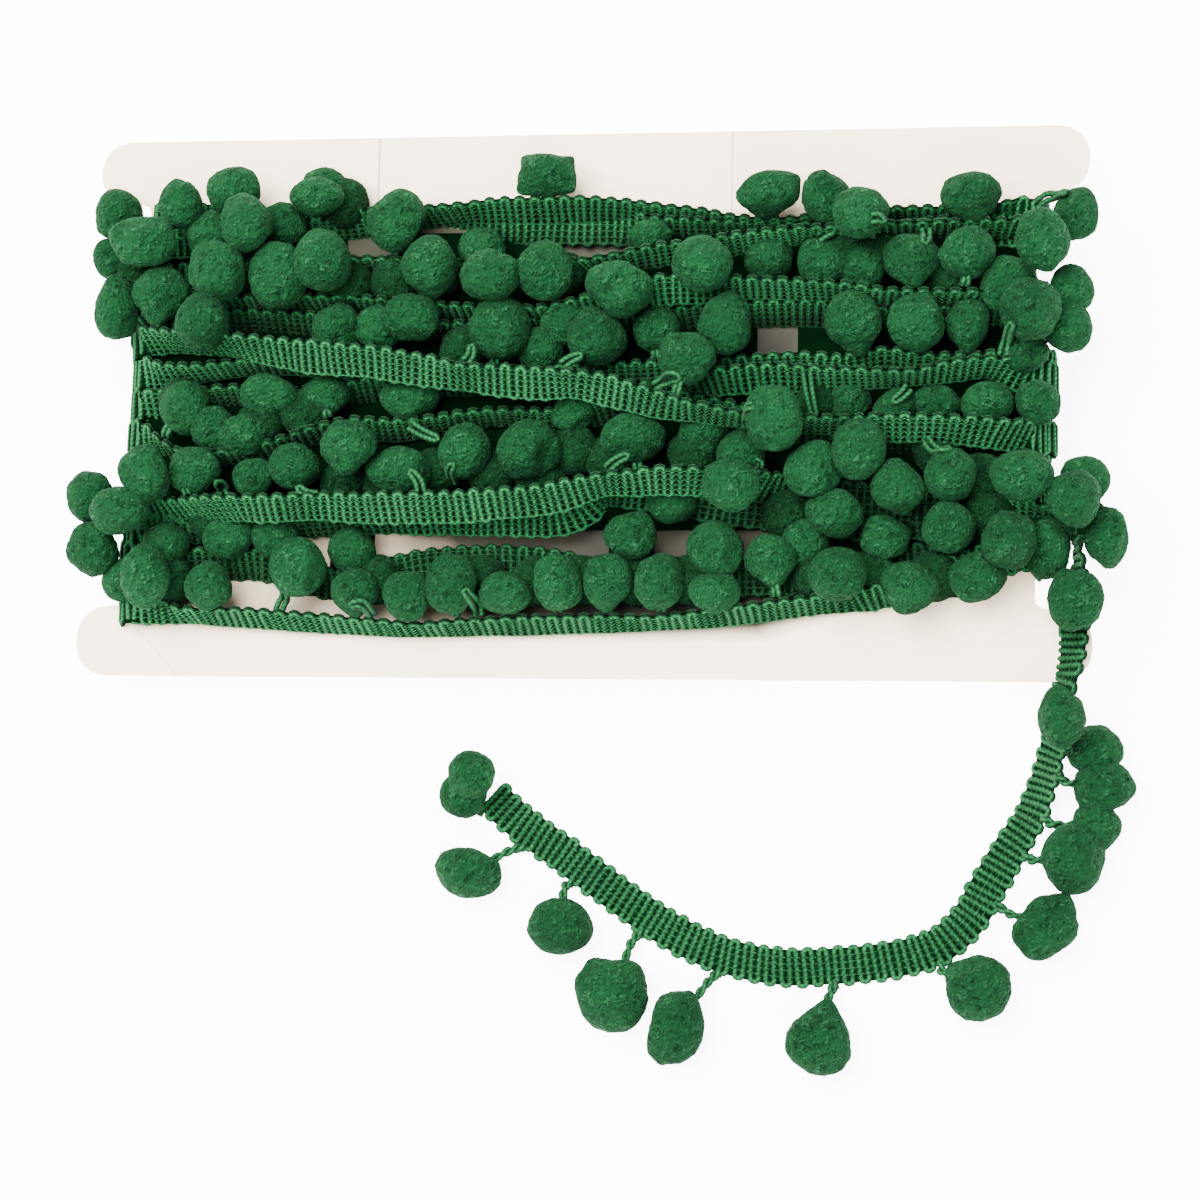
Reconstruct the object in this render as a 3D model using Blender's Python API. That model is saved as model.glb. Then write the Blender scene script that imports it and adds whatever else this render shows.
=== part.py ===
"""Pompom fringe trim wound on an I-shaped card, with one loose end lying on the surface.

Lengths in the tables are millimetres.  X runs along the card, Y across it, and Z is up, from the
surface on which the wound trim lies.  The trim is one long braid with a pompom hung from its left
edge every 25 mm: it is wound round the card's waist in thirteen turns, and its end lies free.
"""

import math
import random

import bmesh
import bpy
from mathutils import Matrix, Vector

MM = 0.001
SEED = 7

# The card: an I of plain board whose waist carries the windings.
CARD_LENGTH = 250.0
CARD_WIDTH = 138.0
CARD_THICKNESS = 1.6
CARD_UNDERSIDE = 14.4
CARD_TOP = CARD_UNDERSIDE + CARD_THICKNESS
LOBE_TOP = 16.5
LOBE_BOTTOM = 17.5
NOTCH_DEPTH = 13.5
LOBE_RADIUS = 7.5
NOTCH_RADIUS = 2.5
CORNER_STEPS = 4
WAIST = CARD_LENGTH / 2 - NOTCH_DEPTH

# The braid and what it clears.
BRAID_WIDTH = 9.5
BRAID_THICKNESS = 1.8
CLEARANCE = 0.3
WOUND_STEP = 13.0
LOOSE_STEP = 6.0
LOOSE_NEAR_CARD = 6

# Where a turn leaves the front of the card, and how far it bulges past that to go round the edge.
TURN_X = 110.0
TURN_BULGE = 4.6
TURN_STEPS = 4
TURN_OVERRUN = 1.5

# How finely the wound body is fused, and the triangles that it keeps.
FUSE_VOXEL = 1.0
WOUND_FACES = 10500

# The stems, three-sided, between the braid and a pompom.
STEM_WIDTH = 2.4

# The pass under the card that lies flat on the surface at the origin; its pressed face is a little
# wider than the braid, and the rest of the heap stays just above it.
FLAT_PASS = 10
FLAT_SPREAD = 0.3
FLAT_LIFT = 0.5

# The heart of the winding, where the turns and pompoms are pressed into one mass.
CORE_X = 112.0
CORE_Y = (-49.0, 45.0)
CORE_Z = (5.0, CARD_TOP + 4.5)
CORE_BEVEL = 4.0

# The pompoms under the card are squashed between it and the surface.  Each hangs a reach away from
# its pass, wanders a share of a pitch along it and a little across, and is then pushed clear of
# the others.  Every fourth pass has its pompoms deep in the winding, where they do not show.
BACK_POMPOM = 13.5
BACK_HEIGHT = 12.6
BACK_SIDES = 6
BACK_PITCH = 25.0
BACK_REACH = 13.0
BACK_WANDER_ALONG = 0.3
BACK_WANDER_ACROSS = 4.0
BACK_HIDDEN_EVERY = 4
BACK_SPACING = 12.8
BACK_LIMIT_X = 112.0
BACK_LIMIT_Y = (-55.0, 50.0)
SETTLE_ROUNDS = 60

# The turned form of a pompom that rests on something: height and radius of each ring, as shares of
# half its size.
BACK_RINGS = ((-1, 0.45), (-0.3, 0.98), (0.5, 0.9), (1, 0.35))
LOOSE_RINGS = ((-1, 0.42), (-0.62, 0.84), (0, 1.0), (0.62, 0.8), (1, 0.3))
LOOSE_SIDES = 8
LOOSE_DEPTH = 0.9

GREEN = (0.055, 0.24, 0.10, 1.0)
BOARD = (0.83, 0.80, 0.77, 1.0)

# The thirteen front passes in the order in which they were wound.
# Each station: x, y, height over the card, lean of the braid in degrees.
FRONT_PASSES = [
    [(-110, 48, 3, 0), (-56, 45, 5, 40), (-20, 48, 6, 0), (20, 46, 6, 0), (75, 46, 4, 20), (110, 46, 3, 0)],
    [(-110, 42, 3, 0), (-72, 40, 3, 0), (-36, 43, 2, 0), (5, 41, 2, 0), (54, 46, 2, 0), (110, 45, 2, 0)],
    [(-110, 30, 4, 0), (-57, 34, 8, 60), (-14, 30, 10, 70), (11, 34, 11, 20), (50, 38, 11, 10),
     (62, 40, 10, 60), (79, 41, 9, 60), (98, 41, 7, 0), (110, 42, 5, 0)],
    [(-110, 24, 4, 0), (-65, 24, 8, 30), (-26, 21, 10, 0), (20, 26, 12, 30), (55, 27, 13, 0),
     (89, 23, 12, 50), (110, 24, 5, 0)],
    [(-110, 19, 3, 0), (-68, 22, 4, 0), (-20, 19, 4, 0), (42, 20, 5, 0), (79, 16, 4, 0), (110, 19, 3, 0)],
    [(-110, 2, 3, 0), (-70, 2, 4, 0), (-19, 7, 4, 0), (45, 10, 7, 0), (89, 10, 6, 0), (110, 9, 3, 0)],
    [(-110, 7, 4, 0), (-84, 7, 8, 60), (-28, 0, 9, 0), (16, -1, 10, 0), (41, 2, 12, 0),
     (89, 4, 12, 0), (110, 3, 5, 0)],
    [(-110, -10, 3, 0), (-86, -16, 6, 0), (-51, -8, 6, 0), (6, -5, 6, 0), (55, -14, 5, 0),
     (110, -11, 3, 0)],
    [(-110, -40, 3, 0), (-76, -43, 3, 0), (-33, -39, 3, 0), (26, -39, 3, 0), (110, -35, 3, 0)],
    [(-110, -35, 3, 0), (-45, -33, 8, 0), (-17, -34, 10, 0), (12, -29, 10, 0), (43, -28, 8, 0),
     (79, -31, 6, 0), (110, -26, 3, 0)],
    [(-110, -53, 5, 60), (-82, -56, 6, 62), (-47, -58, 6, 62), (12, -56, 6, 62), (68, -51, 6, 62),
     (89, -45, 8, 30), (110, -38, 5, 0)],
    [(-110, 14, 6, 0), (-83, 10, 15, 0), (-46, 5, 20, 0), (-7, 0, 20, 0), (22, -5, 20, 0),
     (46, -10, 19, 50), (61, -11, 18, 20), (94, -11, 14, 0), (110, -11, 6, 0)],
    [(-110, -29, 6, 0), (-91, -30, 14, 0), (-60, -30, 19, 0), (-11, -30, 20, 0), (9, -26, 20, 0),
     (32, -24, 19, 0), (63, -25, 14, 0), (96, -28, 10, 10), (109, -29, 8, 55), (116, -29.5, 6.5, 80)],
]

# The pass under the card that follows each front pass but the last: height over the surface at its
# right end, its middle and its left end, and how far its middle is moved across the card.
BACK_PASSES = [
    (13.2, 13.2, 13.2, 0),
    (11.0, 10.4, 11.0, 0),
    (3.0, 0.9, 0.9, 0),
    (13.2, 13.2, 13.2, 0),
    (11.0, 9.0, 11.0, 0),
    (2.8, 0.9, 2.8, 2),
    (13.2, 13.2, 13.2, 0),
    (11.0, 11.0, 13.2, 0),
    (4.8, 0.9, 4.8, -4),
    (2.8, 2.8, 0.9, 2),
    (2.2, 0.9, 0.9, 11.5),
    (0.9, 0.9, 2.8, 0),
]

# The pompoms over the card.  Each row: x, y, height over the card, width, length.
FRONT_POMPOMS = [
    (-117, 47, 10, 12, 13), (-107, 37, 19, 17, 13), (-119, 36, 6, 10, 11), (-116, 22, 11, 11, 16),
    (-104, 25, 12, 15, 15), (-100, 48, 13, 11, 13), (-87, 52, 12, 14, 12), (-81, 41, 20, 13, 15),
    (-93, 42, 9, 12, 12), (-88, 29, 20, 14, 15), (-91, 16, 21, 13, 15), (-74, 29, 13, 15, 17),
    (-62, 32, 19, 14, 16), (-65, 54, 7, 11, 10), (-65, 49, 15, 14, 10), (-75, 43, 8, 13, 13),
    (-60, 17, 8, 13, 13), (-49, 17, 8, 12, 12), (-45, 43, 13, 15, 16), (-36, 31, 14, 14, 16),
    (-24, 37, 8, 12, 11), (-20, 27, 19, 15, 13), (-7, 29, 16, 14, 15), (-40, 18, 14, 14, 12),
    (-18, 15, 14, 15, 16), (6, 13, 14, 15, 15), (-3, 18, 8, 12, 12), (12, 23, 20, 17, 14),
    (18, 40, 7, 11, 9), (20, 16, 8, 12, 12), (-8, 55, 11, 15, 11), (-9, 11, 8, 12, 12),
    (32, 29, 20, 15, 14), (37, 16, 14, 13, 16), (29, 5, 22, 14, 13), (47, 49, 12, 16, 11),
    (61, 48, 12, 12, 14), (70, 41, 20, 14, 13), (47, 34, 7, 12, 12), (60, 33, 7, 12, 12),
    (70, 31, 8, 11, 12), (82, 31, 12, 14, 14), (68, 16, 13, 14, 16), (83, 16, 12, 14, 15),
    (95, 33, 14, 14, 13), (96, 47, 12, 15, 12), (113, 34, 19, 13, 16), (121, 43, 11, 11, 14),
    (105, 26, 9, 14, 14), (110, 17, 19, 15, 15), (120, 24, 10, 11, 13), (119, 15, 11, 12, 13),
    (95, 16, 8, 11, 14), (109, 10, 8, 12, 11), (67, -2, 7, 11, 10), (78, -4, 7, 11, 10),
    (88, -3, 7, 12, 10), (100, -3, 7, 13, 11), (112, -3, 8, 11, 11), (-98, -3, 8, 13, 14),
    (-76, 0, 8, 15, 11), (-62, 0, 8, 12, 10), (-87, -9, 8, 16, 11), (-53, -16, 20, 14, 14),
    (-68, -19, 13, 13, 12), (-79, -21, 9, 11, 10), (-93, -20, 13, 13, 12), (-104, -22, 19, 13, 15),
    (-120, -26, 11, 12, 13), (-110, -31, 19, 15, 12), (-119, -39, 10, 13, 14), (-103, -47, 17, 12, 16),
    (-101, -38, 8, 12, 12), (-112, -46, 6, 11, 11), (-89, -50, 12, 12, 12), (-85, -37, 8, 13, 11),
    (-73, -36, 8, 12, 11), (-66, -44, 13, 14, 15), (-54, -39, 8, 12, 12), (-52, -50, 12, 12, 12),
    (-41, -1, 8, 15, 11), (-42, -20, 13, 16, 12), (-26, -15, 12, 13, 14), (-10, -15, 13, 16, 15),
    (0, -5, 8, 11, 10), (15, -12, 12, 16, 12), (-39, -51, 12, 12, 13), (-28, -48, 13, 13, 15),
    (-15, -50, 12, 13, 11), (-2, -48, 13, 12, 14), (10, -48, 12, 12, 15), (15, -36, 12, 13, 12),
    (22, -48, 13, 12, 14), (25, -33, 8, 13, 11), (50, -10, 23, 14, 16), (32, -10, 9, 12, 12),
    (41, -15, 9, 12, 12), (40, -26, 23, 14, 13), (59, -21, 17, 14, 14), (70, -17, 21, 13, 15),
    (79, -25, 18, 13, 13), (64, -31, 14, 14, 12), (57, -37, 8, 12, 12), (76, -36, 9, 12, 11),
    (36, -39, 12, 13, 14), (49, -42, 12, 13, 13), (35, -51, 11, 12, 10), (65, -46, 16, 14, 13),
    (82, -48, 14, 14, 13), (91, -21, 16, 13, 13), (108, -22, 20, 15, 13), (91, -34, 13, 13, 13),
    (104, -38, 18, 13, 14), (97, -46, 12, 13, 12), (112.5, -40, 7, 11, 13), (118, -25, 18.5, 13, 13),
    (126, -20, 6, 12, 12),
]

# The loose end's stations: x, y, height over the surface, lean of the braid in degrees.  It leaves
# the winding on edge, lies over the card's lobe, and comes down to the surface.
LOOSE_ROUTE = [
    (116.3, -29.5, 22.5, 80), (120, -32, 22, 82), (121.4, -38, 21.5, 84), (121.5, -47, 20.8, 62),
    (120.4, -56, 18.9, 10), (119.3, -63, 18.2, 3), (118.6, -71, 18.2, 12), (117.0, -80, 8.5, 45),
    (114.2, -90, 2.4, 25), (110.6, -100, 1.2, 8), (105.8, -108, 0.9, 0), (101.1, -116, 0.9, 0),
    (95.1, -126, 0.9, 0), (86.8, -132.4, 0.9, 0), (74.8, -135.7, 0.9, 0), (59.9, -137.2, 0.9, 0),
    (48.3, -136.6, 0.9, 0), (36.1, -133, 0.9, 0), (26.2, -128.6, 0.9, 0), (16.3, -122.8, 0.9, 0),
    (6.2, -116, 0.9, 0), (-3.9, -109.2, 0.9, 0), (-14, -102.7, 0.9, 0), (-22, -96, 0.9, 0),
]

# The pompoms of the loose end.  Each row: x, y, width, length, height of its lowest point.
LOOSE_POMPOMS = [
    (129, -36.5, 12, 14, 19), (121.5, -51.5, 13, 15, 22), (117.8, -74.5, 11, 14, 4), (127, -84, 14, 11, 0),
    (129, -93, 16, 13, 0), (126.5, -102.5, 12, 12, 0), (121, -111, 15, 17, 0), (115, -127, 16, 16, 0),
    (98.5, -141.5, 16, 16, 0), (60.5, -153.5, 16, 19, 0), (27, -152, 13, 17, 0), (11.5, -144.5, 18, 18, 0),
    (-2.5, -128.5, 17, 14, 0), (-26, -115.5, 17, 12, 0), (-26, -91.5, 13, 12, 0),
]


def clear_scene():
    """Remove every object, so the part starts from nothing."""
    for obj in list(bpy.data.objects):
        bpy.data.objects.remove(obj, do_unlink=True)


def make_material(name, colour, roughness):
    """A Principled material in one colour."""
    material = bpy.data.materials.new(name)
    material.use_nodes = True
    shader = material.node_tree.nodes["Principled BSDF"]
    shader.inputs["Base Color"].default_value = colour
    shader.inputs["Roughness"].default_value = roughness
    return material


def object_from(bm, name, material=None, helper=False):
    """Turn a bmesh into a named object; a helper is a guide that is not part of the model."""
    mesh = bpy.data.meshes.new(name)
    bm.to_mesh(mesh)
    bm.free()
    obj = bpy.data.objects.new(name, mesh)
    bpy.context.scene.collection.objects.link(obj)
    if material:
        mesh.materials.append(material)
    if helper:
        obj.hide_render = True
        obj.display_type = "WIRE"
    return obj


def smooth_path(stations, step):
    """Read points at about one step apart from a smooth curve through the stations."""
    rows = [Vector(row[:3]) for row in stations]
    leans = [row[3] for row in stations]
    rows = [rows[0] * 2 - rows[1]] + rows + [rows[-1] * 2 - rows[-2]]
    leans = [leans[0]] + leans + [leans[-1]]
    path = []
    for i in range(1, len(rows) - 2):
        before, start, end, after = rows[i - 1:i + 3]
        count = max(1, round((end - start).length / step))
        for j in range(count):
            t = j / count
            point = 0.5 * (2 * start + (end - before) * t
                           + (2 * before - 5 * start + 4 * end - after) * t ** 2
                           + (3 * start - before - 3 * end + after) * t ** 3)
            ease = t * t * (3 - 2 * t)
            path.append((point, leans[i] + (leans[i + 1] - leans[i]) * ease))
    path.append((rows[-2], leans[-2]))
    return path


def path_frames(path, across_from_up):
    """Give each point of a path the direction across the braid and the way its face looks."""
    frames = []
    for i, (point, lean) in enumerate(path):
        tangent = path[min(i + 1, len(path) - 1)][0] - path[max(i - 1, 0)][0]
        tangent.normalize()
        if across_from_up:
            across = Vector((0, 0, 1)).cross(tangent)
        else:
            across = Vector((0, 1, 0)) - tangent * tangent.y
        across.normalize()
        across.rotate(Matrix.Rotation(math.radians(lean), 3, tangent))
        frames.append((point, across, tangent.cross(across)))
    return frames


def add_braid(bm, frames, spread=0.0, swell=0.0):
    """Sweep the braid's flat section along the frames and close both ends.

    Spread widens the section at each edge, and swell thickens it on each face.
    """
    half_width = BRAID_WIDTH / 2 + spread
    half_thick = BRAID_THICKNESS / 2 + swell
    corners = ((-1, -1), (1, -1), (1, 1), (-1, 1))
    rings = []
    for point, across, face in frames:
        ring = []
        for side, up in corners:
            place = point + across * half_width * side + face * half_thick * up
            ring.append(bm.verts.new(place * MM))
        rings.append(ring)
    for first, second in zip(rings, rings[1:]):
        for i in range(4):
            j = (i + 1) % 4
            bm.faces.new((first[i], first[j], second[j], second[i]))
    bm.faces.new(tuple(reversed(rings[0])))
    bm.faces.new(rings[-1])


def round_ball():
    """Points and faces of a small round ball: a cube divided once, with its corners drawn in."""
    bm = bmesh.new()
    bmesh.ops.create_cube(bm, size=2)
    bmesh.ops.subdivide_edges(bm, edges=bm.edges[:], cuts=1, use_grid_fill=True)
    bm.verts.index_update()
    points = [vert.co.normalized() for vert in bm.verts]
    faces = [[vert.index for vert in face.verts] for face in bm.faces]
    bm.free()
    return points, faces


def add_pompom(bm, ball, centre, size, dice):
    """A round pompom: the ball, turned at random and scaled to its size."""
    points, faces = ball
    spin = Matrix.Rotation(dice.uniform(0, math.tau), 3, "Z")
    tip = Matrix.Rotation(dice.uniform(0, math.tau), 3, "X")
    verts = []
    for point in points:
        way = spin @ tip @ point
        place = Vector(centre) + Vector((way.x * size[0], way.y * size[1], way.z * size[2])) / 2
        verts.append(bm.verts.new(place * MM))
    for face in faces:
        bm.faces.new([verts[i] for i in face])


def add_settled_pompom(bm, centre, size, levels, sides, turn):
    """A pompom that rests on the surface: turned rings, with a small flat where it lies."""
    rings = []
    for height, radius in levels:
        ring = []
        for k in range(sides):
            angle = math.tau * k / sides + turn
            place = Vector((math.cos(angle) * radius * size[0] / 2,
                            math.sin(angle) * radius * size[1] / 2, height * size[2] / 2))
            ring.append(bm.verts.new((Vector(centre) + place) * MM))
        rings.append(ring)
    for lower, upper in zip(rings, rings[1:]):
        for k in range(sides):
            j = (k + 1) % sides
            bm.faces.new((lower[k], lower[j], upper[j], upper[k]))
    bm.faces.new(tuple(reversed(rings[0])))
    bm.faces.new(rings[-1])


def add_stem(bm, root, tip):
    """A three-sided stem from the braid to a pompom."""
    along = Vector(tip) - Vector(root)
    side = along.cross(Vector((0, 0, 1))).normalized() * STEM_WIDTH / 2
    up = side.cross(along).normalized() * STEM_WIDTH / 2
    ends = []
    for end in (Vector(root), Vector(tip)):
        ends.append([bm.verts.new((end + offset) * MM) for offset in (side - up, up, -side - up)])
    for i in range(3):
        j = (i + 1) % 3
        bm.faces.new((ends[0][j], ends[0][i], ends[1][i], ends[1][j]))
    bm.faces.new(ends[0])
    bm.faces.new(tuple(reversed(ends[1])))


def card_outline(grow):
    """Corners of the I, anticlockwise, rounded; grow moves every edge outwards."""
    half_length = CARD_LENGTH / 2 + grow
    top = CARD_WIDTH / 2 + grow
    bottom = -CARD_WIDTH / 2 - grow
    waist = WAIST + grow
    notch_top = CARD_WIDTH / 2 - LOBE_TOP - grow
    notch_bottom = -CARD_WIDTH / 2 + LOBE_BOTTOM + grow
    corners = [
        (half_length, bottom, LOBE_RADIUS), (half_length, notch_bottom, LOBE_RADIUS),
        (waist, notch_bottom, NOTCH_RADIUS), (waist, notch_top, NOTCH_RADIUS),
        (half_length, notch_top, LOBE_RADIUS), (half_length, top, LOBE_RADIUS),
    ]
    corners += [(-x, y, radius) for x, y, radius in reversed(corners)]
    outline = []
    for i, (x, y, radius) in enumerate(corners):
        corner = Vector((x, y))
        back = (Vector(corners[i - 1][:2]) - corner).normalized() * radius
        onward = (Vector(corners[(i + 1) % len(corners)][:2]) - corner).normalized() * radius
        centre = corner + back + onward
        for k in range(CORNER_STEPS + 1):
            angle = math.pi / 2 * k / CORNER_STEPS
            outline.append(centre - onward * math.cos(angle) - back * math.sin(angle))
    return outline


def add_card(bm, grow):
    """The board as one slab; grow makes the larger one that clears it."""
    outline = card_outline(grow)
    low = [bm.verts.new(Vector((x, y, CARD_UNDERSIDE - grow)) * MM) for x, y in outline]
    high = [bm.verts.new(Vector((x, y, CARD_TOP + grow)) * MM) for x, y in outline]
    for i in range(len(outline)):
        j = (i + 1) % len(outline)
        bm.faces.new((low[i], low[j], high[j], high[i]))
    bm.faces.new(tuple(reversed(low)))
    bm.faces.new(high)


def turn_arc(side, y, z_from, z_to):
    """Points of the braid's way round the card's edge, between a front and a back pass."""
    arc = []
    for k in range(1, TURN_STEPS):
        angle = math.pi * k / TURN_STEPS
        x = side * (TURN_X + TURN_BULGE * math.sin(angle))
        z = (z_from + z_to) / 2 + (z_from - z_to) / 2 * math.cos(angle)
        arc.append((Vector((x, y, z)), 0.0))
    return arc


def back_path(number):
    """The middle line of a pass under the card, from the right edge to the left."""
    z_right, z_middle, z_left, shift = BACK_PASSES[number]
    y_right = FRONT_PASSES[number][-1][1]
    y_left = FRONT_PASSES[number + 1][0][1]
    y_middle = (y_right + y_left) / 2 + shift
    stations = [(TURN_X, y_right, z_right, 0), (0, y_middle, z_middle, 0), (-TURN_X, y_left, z_left, 0)]
    return smooth_path(stations, TURN_X / 2)


def flat_pass_path():
    """The same middle line for the pass that lies flat on the surface, kept level."""
    path = []
    for point, lean in back_path(FLAT_PASS):
        if abs(point.x) < TURN_X:
            path.append((Vector((point.x, point.y, BRAID_THICKNESS / 2)), lean))
    return path


def wound_turns():
    """One path for each turn: its front pass, and the way round the edge and under the card."""
    turns = []
    for number, stations in enumerate(FRONT_PASSES):
        front = smooth_path([(x, y, CARD_TOP + height, lean) for x, y, height, lean in stations], WOUND_STEP)
        if number < len(BACK_PASSES):
            back = back_path(number)
            if number == FLAT_PASS:
                back = [(point + Vector((0, 0, FLAT_LIFT)), lean) for point, lean in back]
            x, y, height = FRONT_PASSES[number + 1][0][:3]
            joined = Vector((x, y, CARD_TOP + height))
            front += turn_arc(1, back[0][0].y, front[-1][0].z, back[0][0].z)
            front += back
            front += turn_arc(-1, y, back[-1][0].z, joined.z)
            front.append((joined, 0.0))
            front.append((joined + Vector((TURN_OVERRUN, 0, 0)), 0.0))
        turns.append(front)
    return turns


def back_pompom_places():
    """Pompoms under the card: one every pitch along each pass, then pushed apart until they fit."""
    dice = random.Random(SEED)
    places = []
    for number in range(len(BACK_PASSES)):
        y_right = FRONT_PASSES[number][-1][1]
        y_left = FRONT_PASSES[number + 1][0][1]
        count = int(2 * TURN_X / BACK_PITCH)
        for k in range(count):
            share = (k + 0.5 + dice.uniform(-BACK_WANDER_ALONG, BACK_WANDER_ALONG)) / count
            x = TURN_X * (1 - 2 * share)
            y = y_right + (y_left - y_right) * share + BACK_REACH
            y += dice.uniform(-BACK_WANDER_ACROSS, BACK_WANDER_ACROSS)
            if (number + 1) % BACK_HIDDEN_EVERY:
                places.append(Vector((x, y)))
    low, high = BACK_LIMIT_Y
    for _ in range(SETTLE_ROUNDS):
        for i, first in enumerate(places):
            for second in places[i + 1:]:
                gap = second - first
                if 0 < gap.length < BACK_SPACING:
                    push = gap.normalized() * (BACK_SPACING - gap.length) / 2
                    first -= push
                    second += push
        for place in places:
            place.x = max(-BACK_LIMIT_X, min(BACK_LIMIT_X, place.x))
            place.y = max(low, min(high, place.y))
    return places


def nearest_on(turns, place):
    """The point of any braid's middle line that is nearest to a place, tried between the stations."""
    best = None
    for path in turns:
        for (start, _), (end, _) in zip(path, path[1:]):
            for k in range(4):
                point = start.lerp(end, k / 4)
                if best is None or (point - place).length < (best - place).length:
                    best = point
    return best


def face_count(obj):
    """Triangles of an object as its modifiers leave it so far."""
    graph = bpy.context.evaluated_depsgraph_get()
    mesh = obj.evaluated_get(graph).to_mesh()
    return sum(len(face.vertices) - 2 for face in mesh.polygons)


def outer_shell(obj, name, material):
    """Keep only the outer skin of an evaluated object: no inner pockets and no crumbs."""
    graph = bpy.context.evaluated_depsgraph_get()
    bm = bmesh.new()
    bm.from_mesh(obj.evaluated_get(graph).to_mesh())
    unseen = set(bm.faces)
    shells = []
    while unseen:
        shell = [unseen.pop()]
        for face in shell:
            for edge in face.edges:
                for neighbour in edge.link_faces:
                    if neighbour in unseen:
                        unseen.remove(neighbour)
                        shell.append(neighbour)
        shells.append(shell)
    shells.sort(key=len, reverse=True)
    doomed = [face for shell in shells[1:] for face in shell]
    bmesh.ops.delete(bm, geom=doomed, context="FACES")
    return object_from(bm, name, material)


def add_core(bm):
    """The pressed heart of the winding: a bevelled slab that the card's slot is cut through."""
    made = bmesh.ops.create_cube(bm, size=1)
    size = Vector((2 * CORE_X, CORE_Y[1] - CORE_Y[0], CORE_Z[1] - CORE_Z[0]))
    middle = Vector((0, sum(CORE_Y) / 2, sum(CORE_Z) / 2))
    bmesh.ops.scale(bm, vec=size * MM, verts=made["verts"])
    bmesh.ops.translate(bm, vec=middle * MM, verts=made["verts"])
    edges = list({edge for vert in made["verts"] for edge in vert.link_edges})
    bmesh.ops.bevel(bm, geom=edges, offset=CORE_BEVEL * MM, segments=1, affect="EDGES")


def build_card(material):
    """The winding card."""
    bm = bmesh.new()
    add_card(bm, 0)
    return object_from(bm, "card", material)


def loose_clearance():
    """A guide a little larger than the loose end where it leaves the winding."""
    path = smooth_path(LOOSE_ROUTE[:LOOSE_NEAR_CARD], LOOSE_STEP)
    first, lean = path[0]
    path[0] = (first - (path[1][0] - first).normalized() * CLEARANCE, lean)
    bm = bmesh.new()
    add_braid(bm, path_frames(path, True), CLEARANCE, CLEARANCE)
    return object_from(bm, "loose_clearance", helper=True)


def build_wound_trim(material, slot):
    """Thirteen turns of braid with their pompoms, joined into one body that clears the card."""
    dice = random.Random(SEED)
    turns = wound_turns()
    ball = round_ball()
    bm = bmesh.new()
    add_core(bm)
    for path in turns:
        add_braid(bm, path_frames(path, False))
    for x, y, height, width, length in FRONT_POMPOMS:
        centre = Vector((x, y, CARD_TOP + height))
        add_pompom(bm, ball, centre, (width, length, (width + length) / 2), dice)
        add_stem(bm, nearest_on(turns, centre), centre)
    for place in back_pompom_places():
        centre = Vector((place.x, place.y, BACK_HEIGHT / 2 + FLAT_LIFT))
        size = (BACK_POMPOM, BACK_POMPOM, BACK_HEIGHT)
        add_settled_pompom(bm, centre, size, BACK_RINGS, BACK_SIDES, dice.uniform(0, 1))
        add_stem(bm, nearest_on(turns, centre), centre)
    heap = object_from(bm, "heap_guide", helper=True)
    fuse = heap.modifiers.new("fuse", "REMESH")
    fuse.mode = "VOXEL"
    fuse.voxel_size = FUSE_VOXEL * MM
    thin = heap.modifiers.new("fewer_faces", "DECIMATE")
    thin.ratio = WOUND_FACES / face_count(heap)
    thin.use_collapse_triangulate = True
    bm = bmesh.new()
    add_braid(bm, path_frames(flat_pass_path(), False), FLAT_SPREAD)
    rest = heap.modifiers.new("resting_pass", "BOOLEAN")
    rest.operation = "UNION"
    rest.solver = "EXACT"
    rest.object = object_from(bm, "resting_pass", helper=True)
    for name, guide in (("clear_card", slot), ("clear_loose_end", loose_clearance())):
        cut = heap.modifiers.new(name, "BOOLEAN")
        cut.operation = "DIFFERENCE"
        cut.solver = "EXACT"
        cut.object = guide
    trim = outer_shell(heap, "wound_trim", material)
    heap.modifiers.clear()
    return trim


def build_loose_end(material, slot):
    """The free end of the trim, its pompoms resting level on the surface."""
    dice = random.Random(SEED)
    path = smooth_path(LOOSE_ROUTE, LOOSE_STEP)
    bm = bmesh.new()
    add_braid(bm, path_frames(path, True))
    for x, y, width, length, lowest in LOOSE_POMPOMS:
        size = (width, length, (width + length) / 2 * LOOSE_DEPTH)
        centre = Vector((x, y, lowest + size[2] / 2))
        add_settled_pompom(bm, centre, size, LOOSE_RINGS, LOOSE_SIDES, dice.uniform(0, 1))
        add_stem(bm, nearest_on([path], centre), centre)
    heap = object_from(bm, "loose_guide", helper=True)
    join = heap.modifiers.new("join_and_clear_card", "BOOLEAN")
    join.operation = "DIFFERENCE"
    join.solver = "EXACT"
    join.use_self = True
    join.object = slot
    end = outer_shell(heap, "loose_end", material)
    heap.modifiers.clear()
    return end


def main():
    """Build the card, the wound trim and its loose end."""
    clear_scene()
    green = make_material("green_yarn", GREEN, 0.95)
    board = make_material("pale_board", BOARD, 0.6)
    build_card(board)
    bm = bmesh.new()
    add_card(bm, CLEARANCE)
    slot = object_from(bm, "card_clearance", helper=True)
    build_wound_trim(green, slot)
    build_loose_end(green, slot)


main()
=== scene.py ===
# %% [markdown]
# # A pompom fringe trim, wound on its card
#
# The trim is one narrow braid with a felt pompom hung from one edge every 25 mm.  It passes over
# the waist of an I-shaped card thirteen times and back under it twelve times, and its last 24 cm
# lie loose.  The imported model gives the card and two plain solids, the wound trim and its loose
# end.  This lesson keeps the card, and dresses the two solids as what they are: ribs of thick yarn
# on a thin ground, threads that bind the ribs, stems of doubled yarn, and pompoms that are each a
# little different.
#
# Lengths in the tables are millimetres, and MM turns them into Blender's metres.  All chance comes
# from seeded dice, so every run gives the same trim.

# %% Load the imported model
import math
import random

import bmesh
import bpy
import numpy as np
from mathutils import Matrix, Vector


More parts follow.
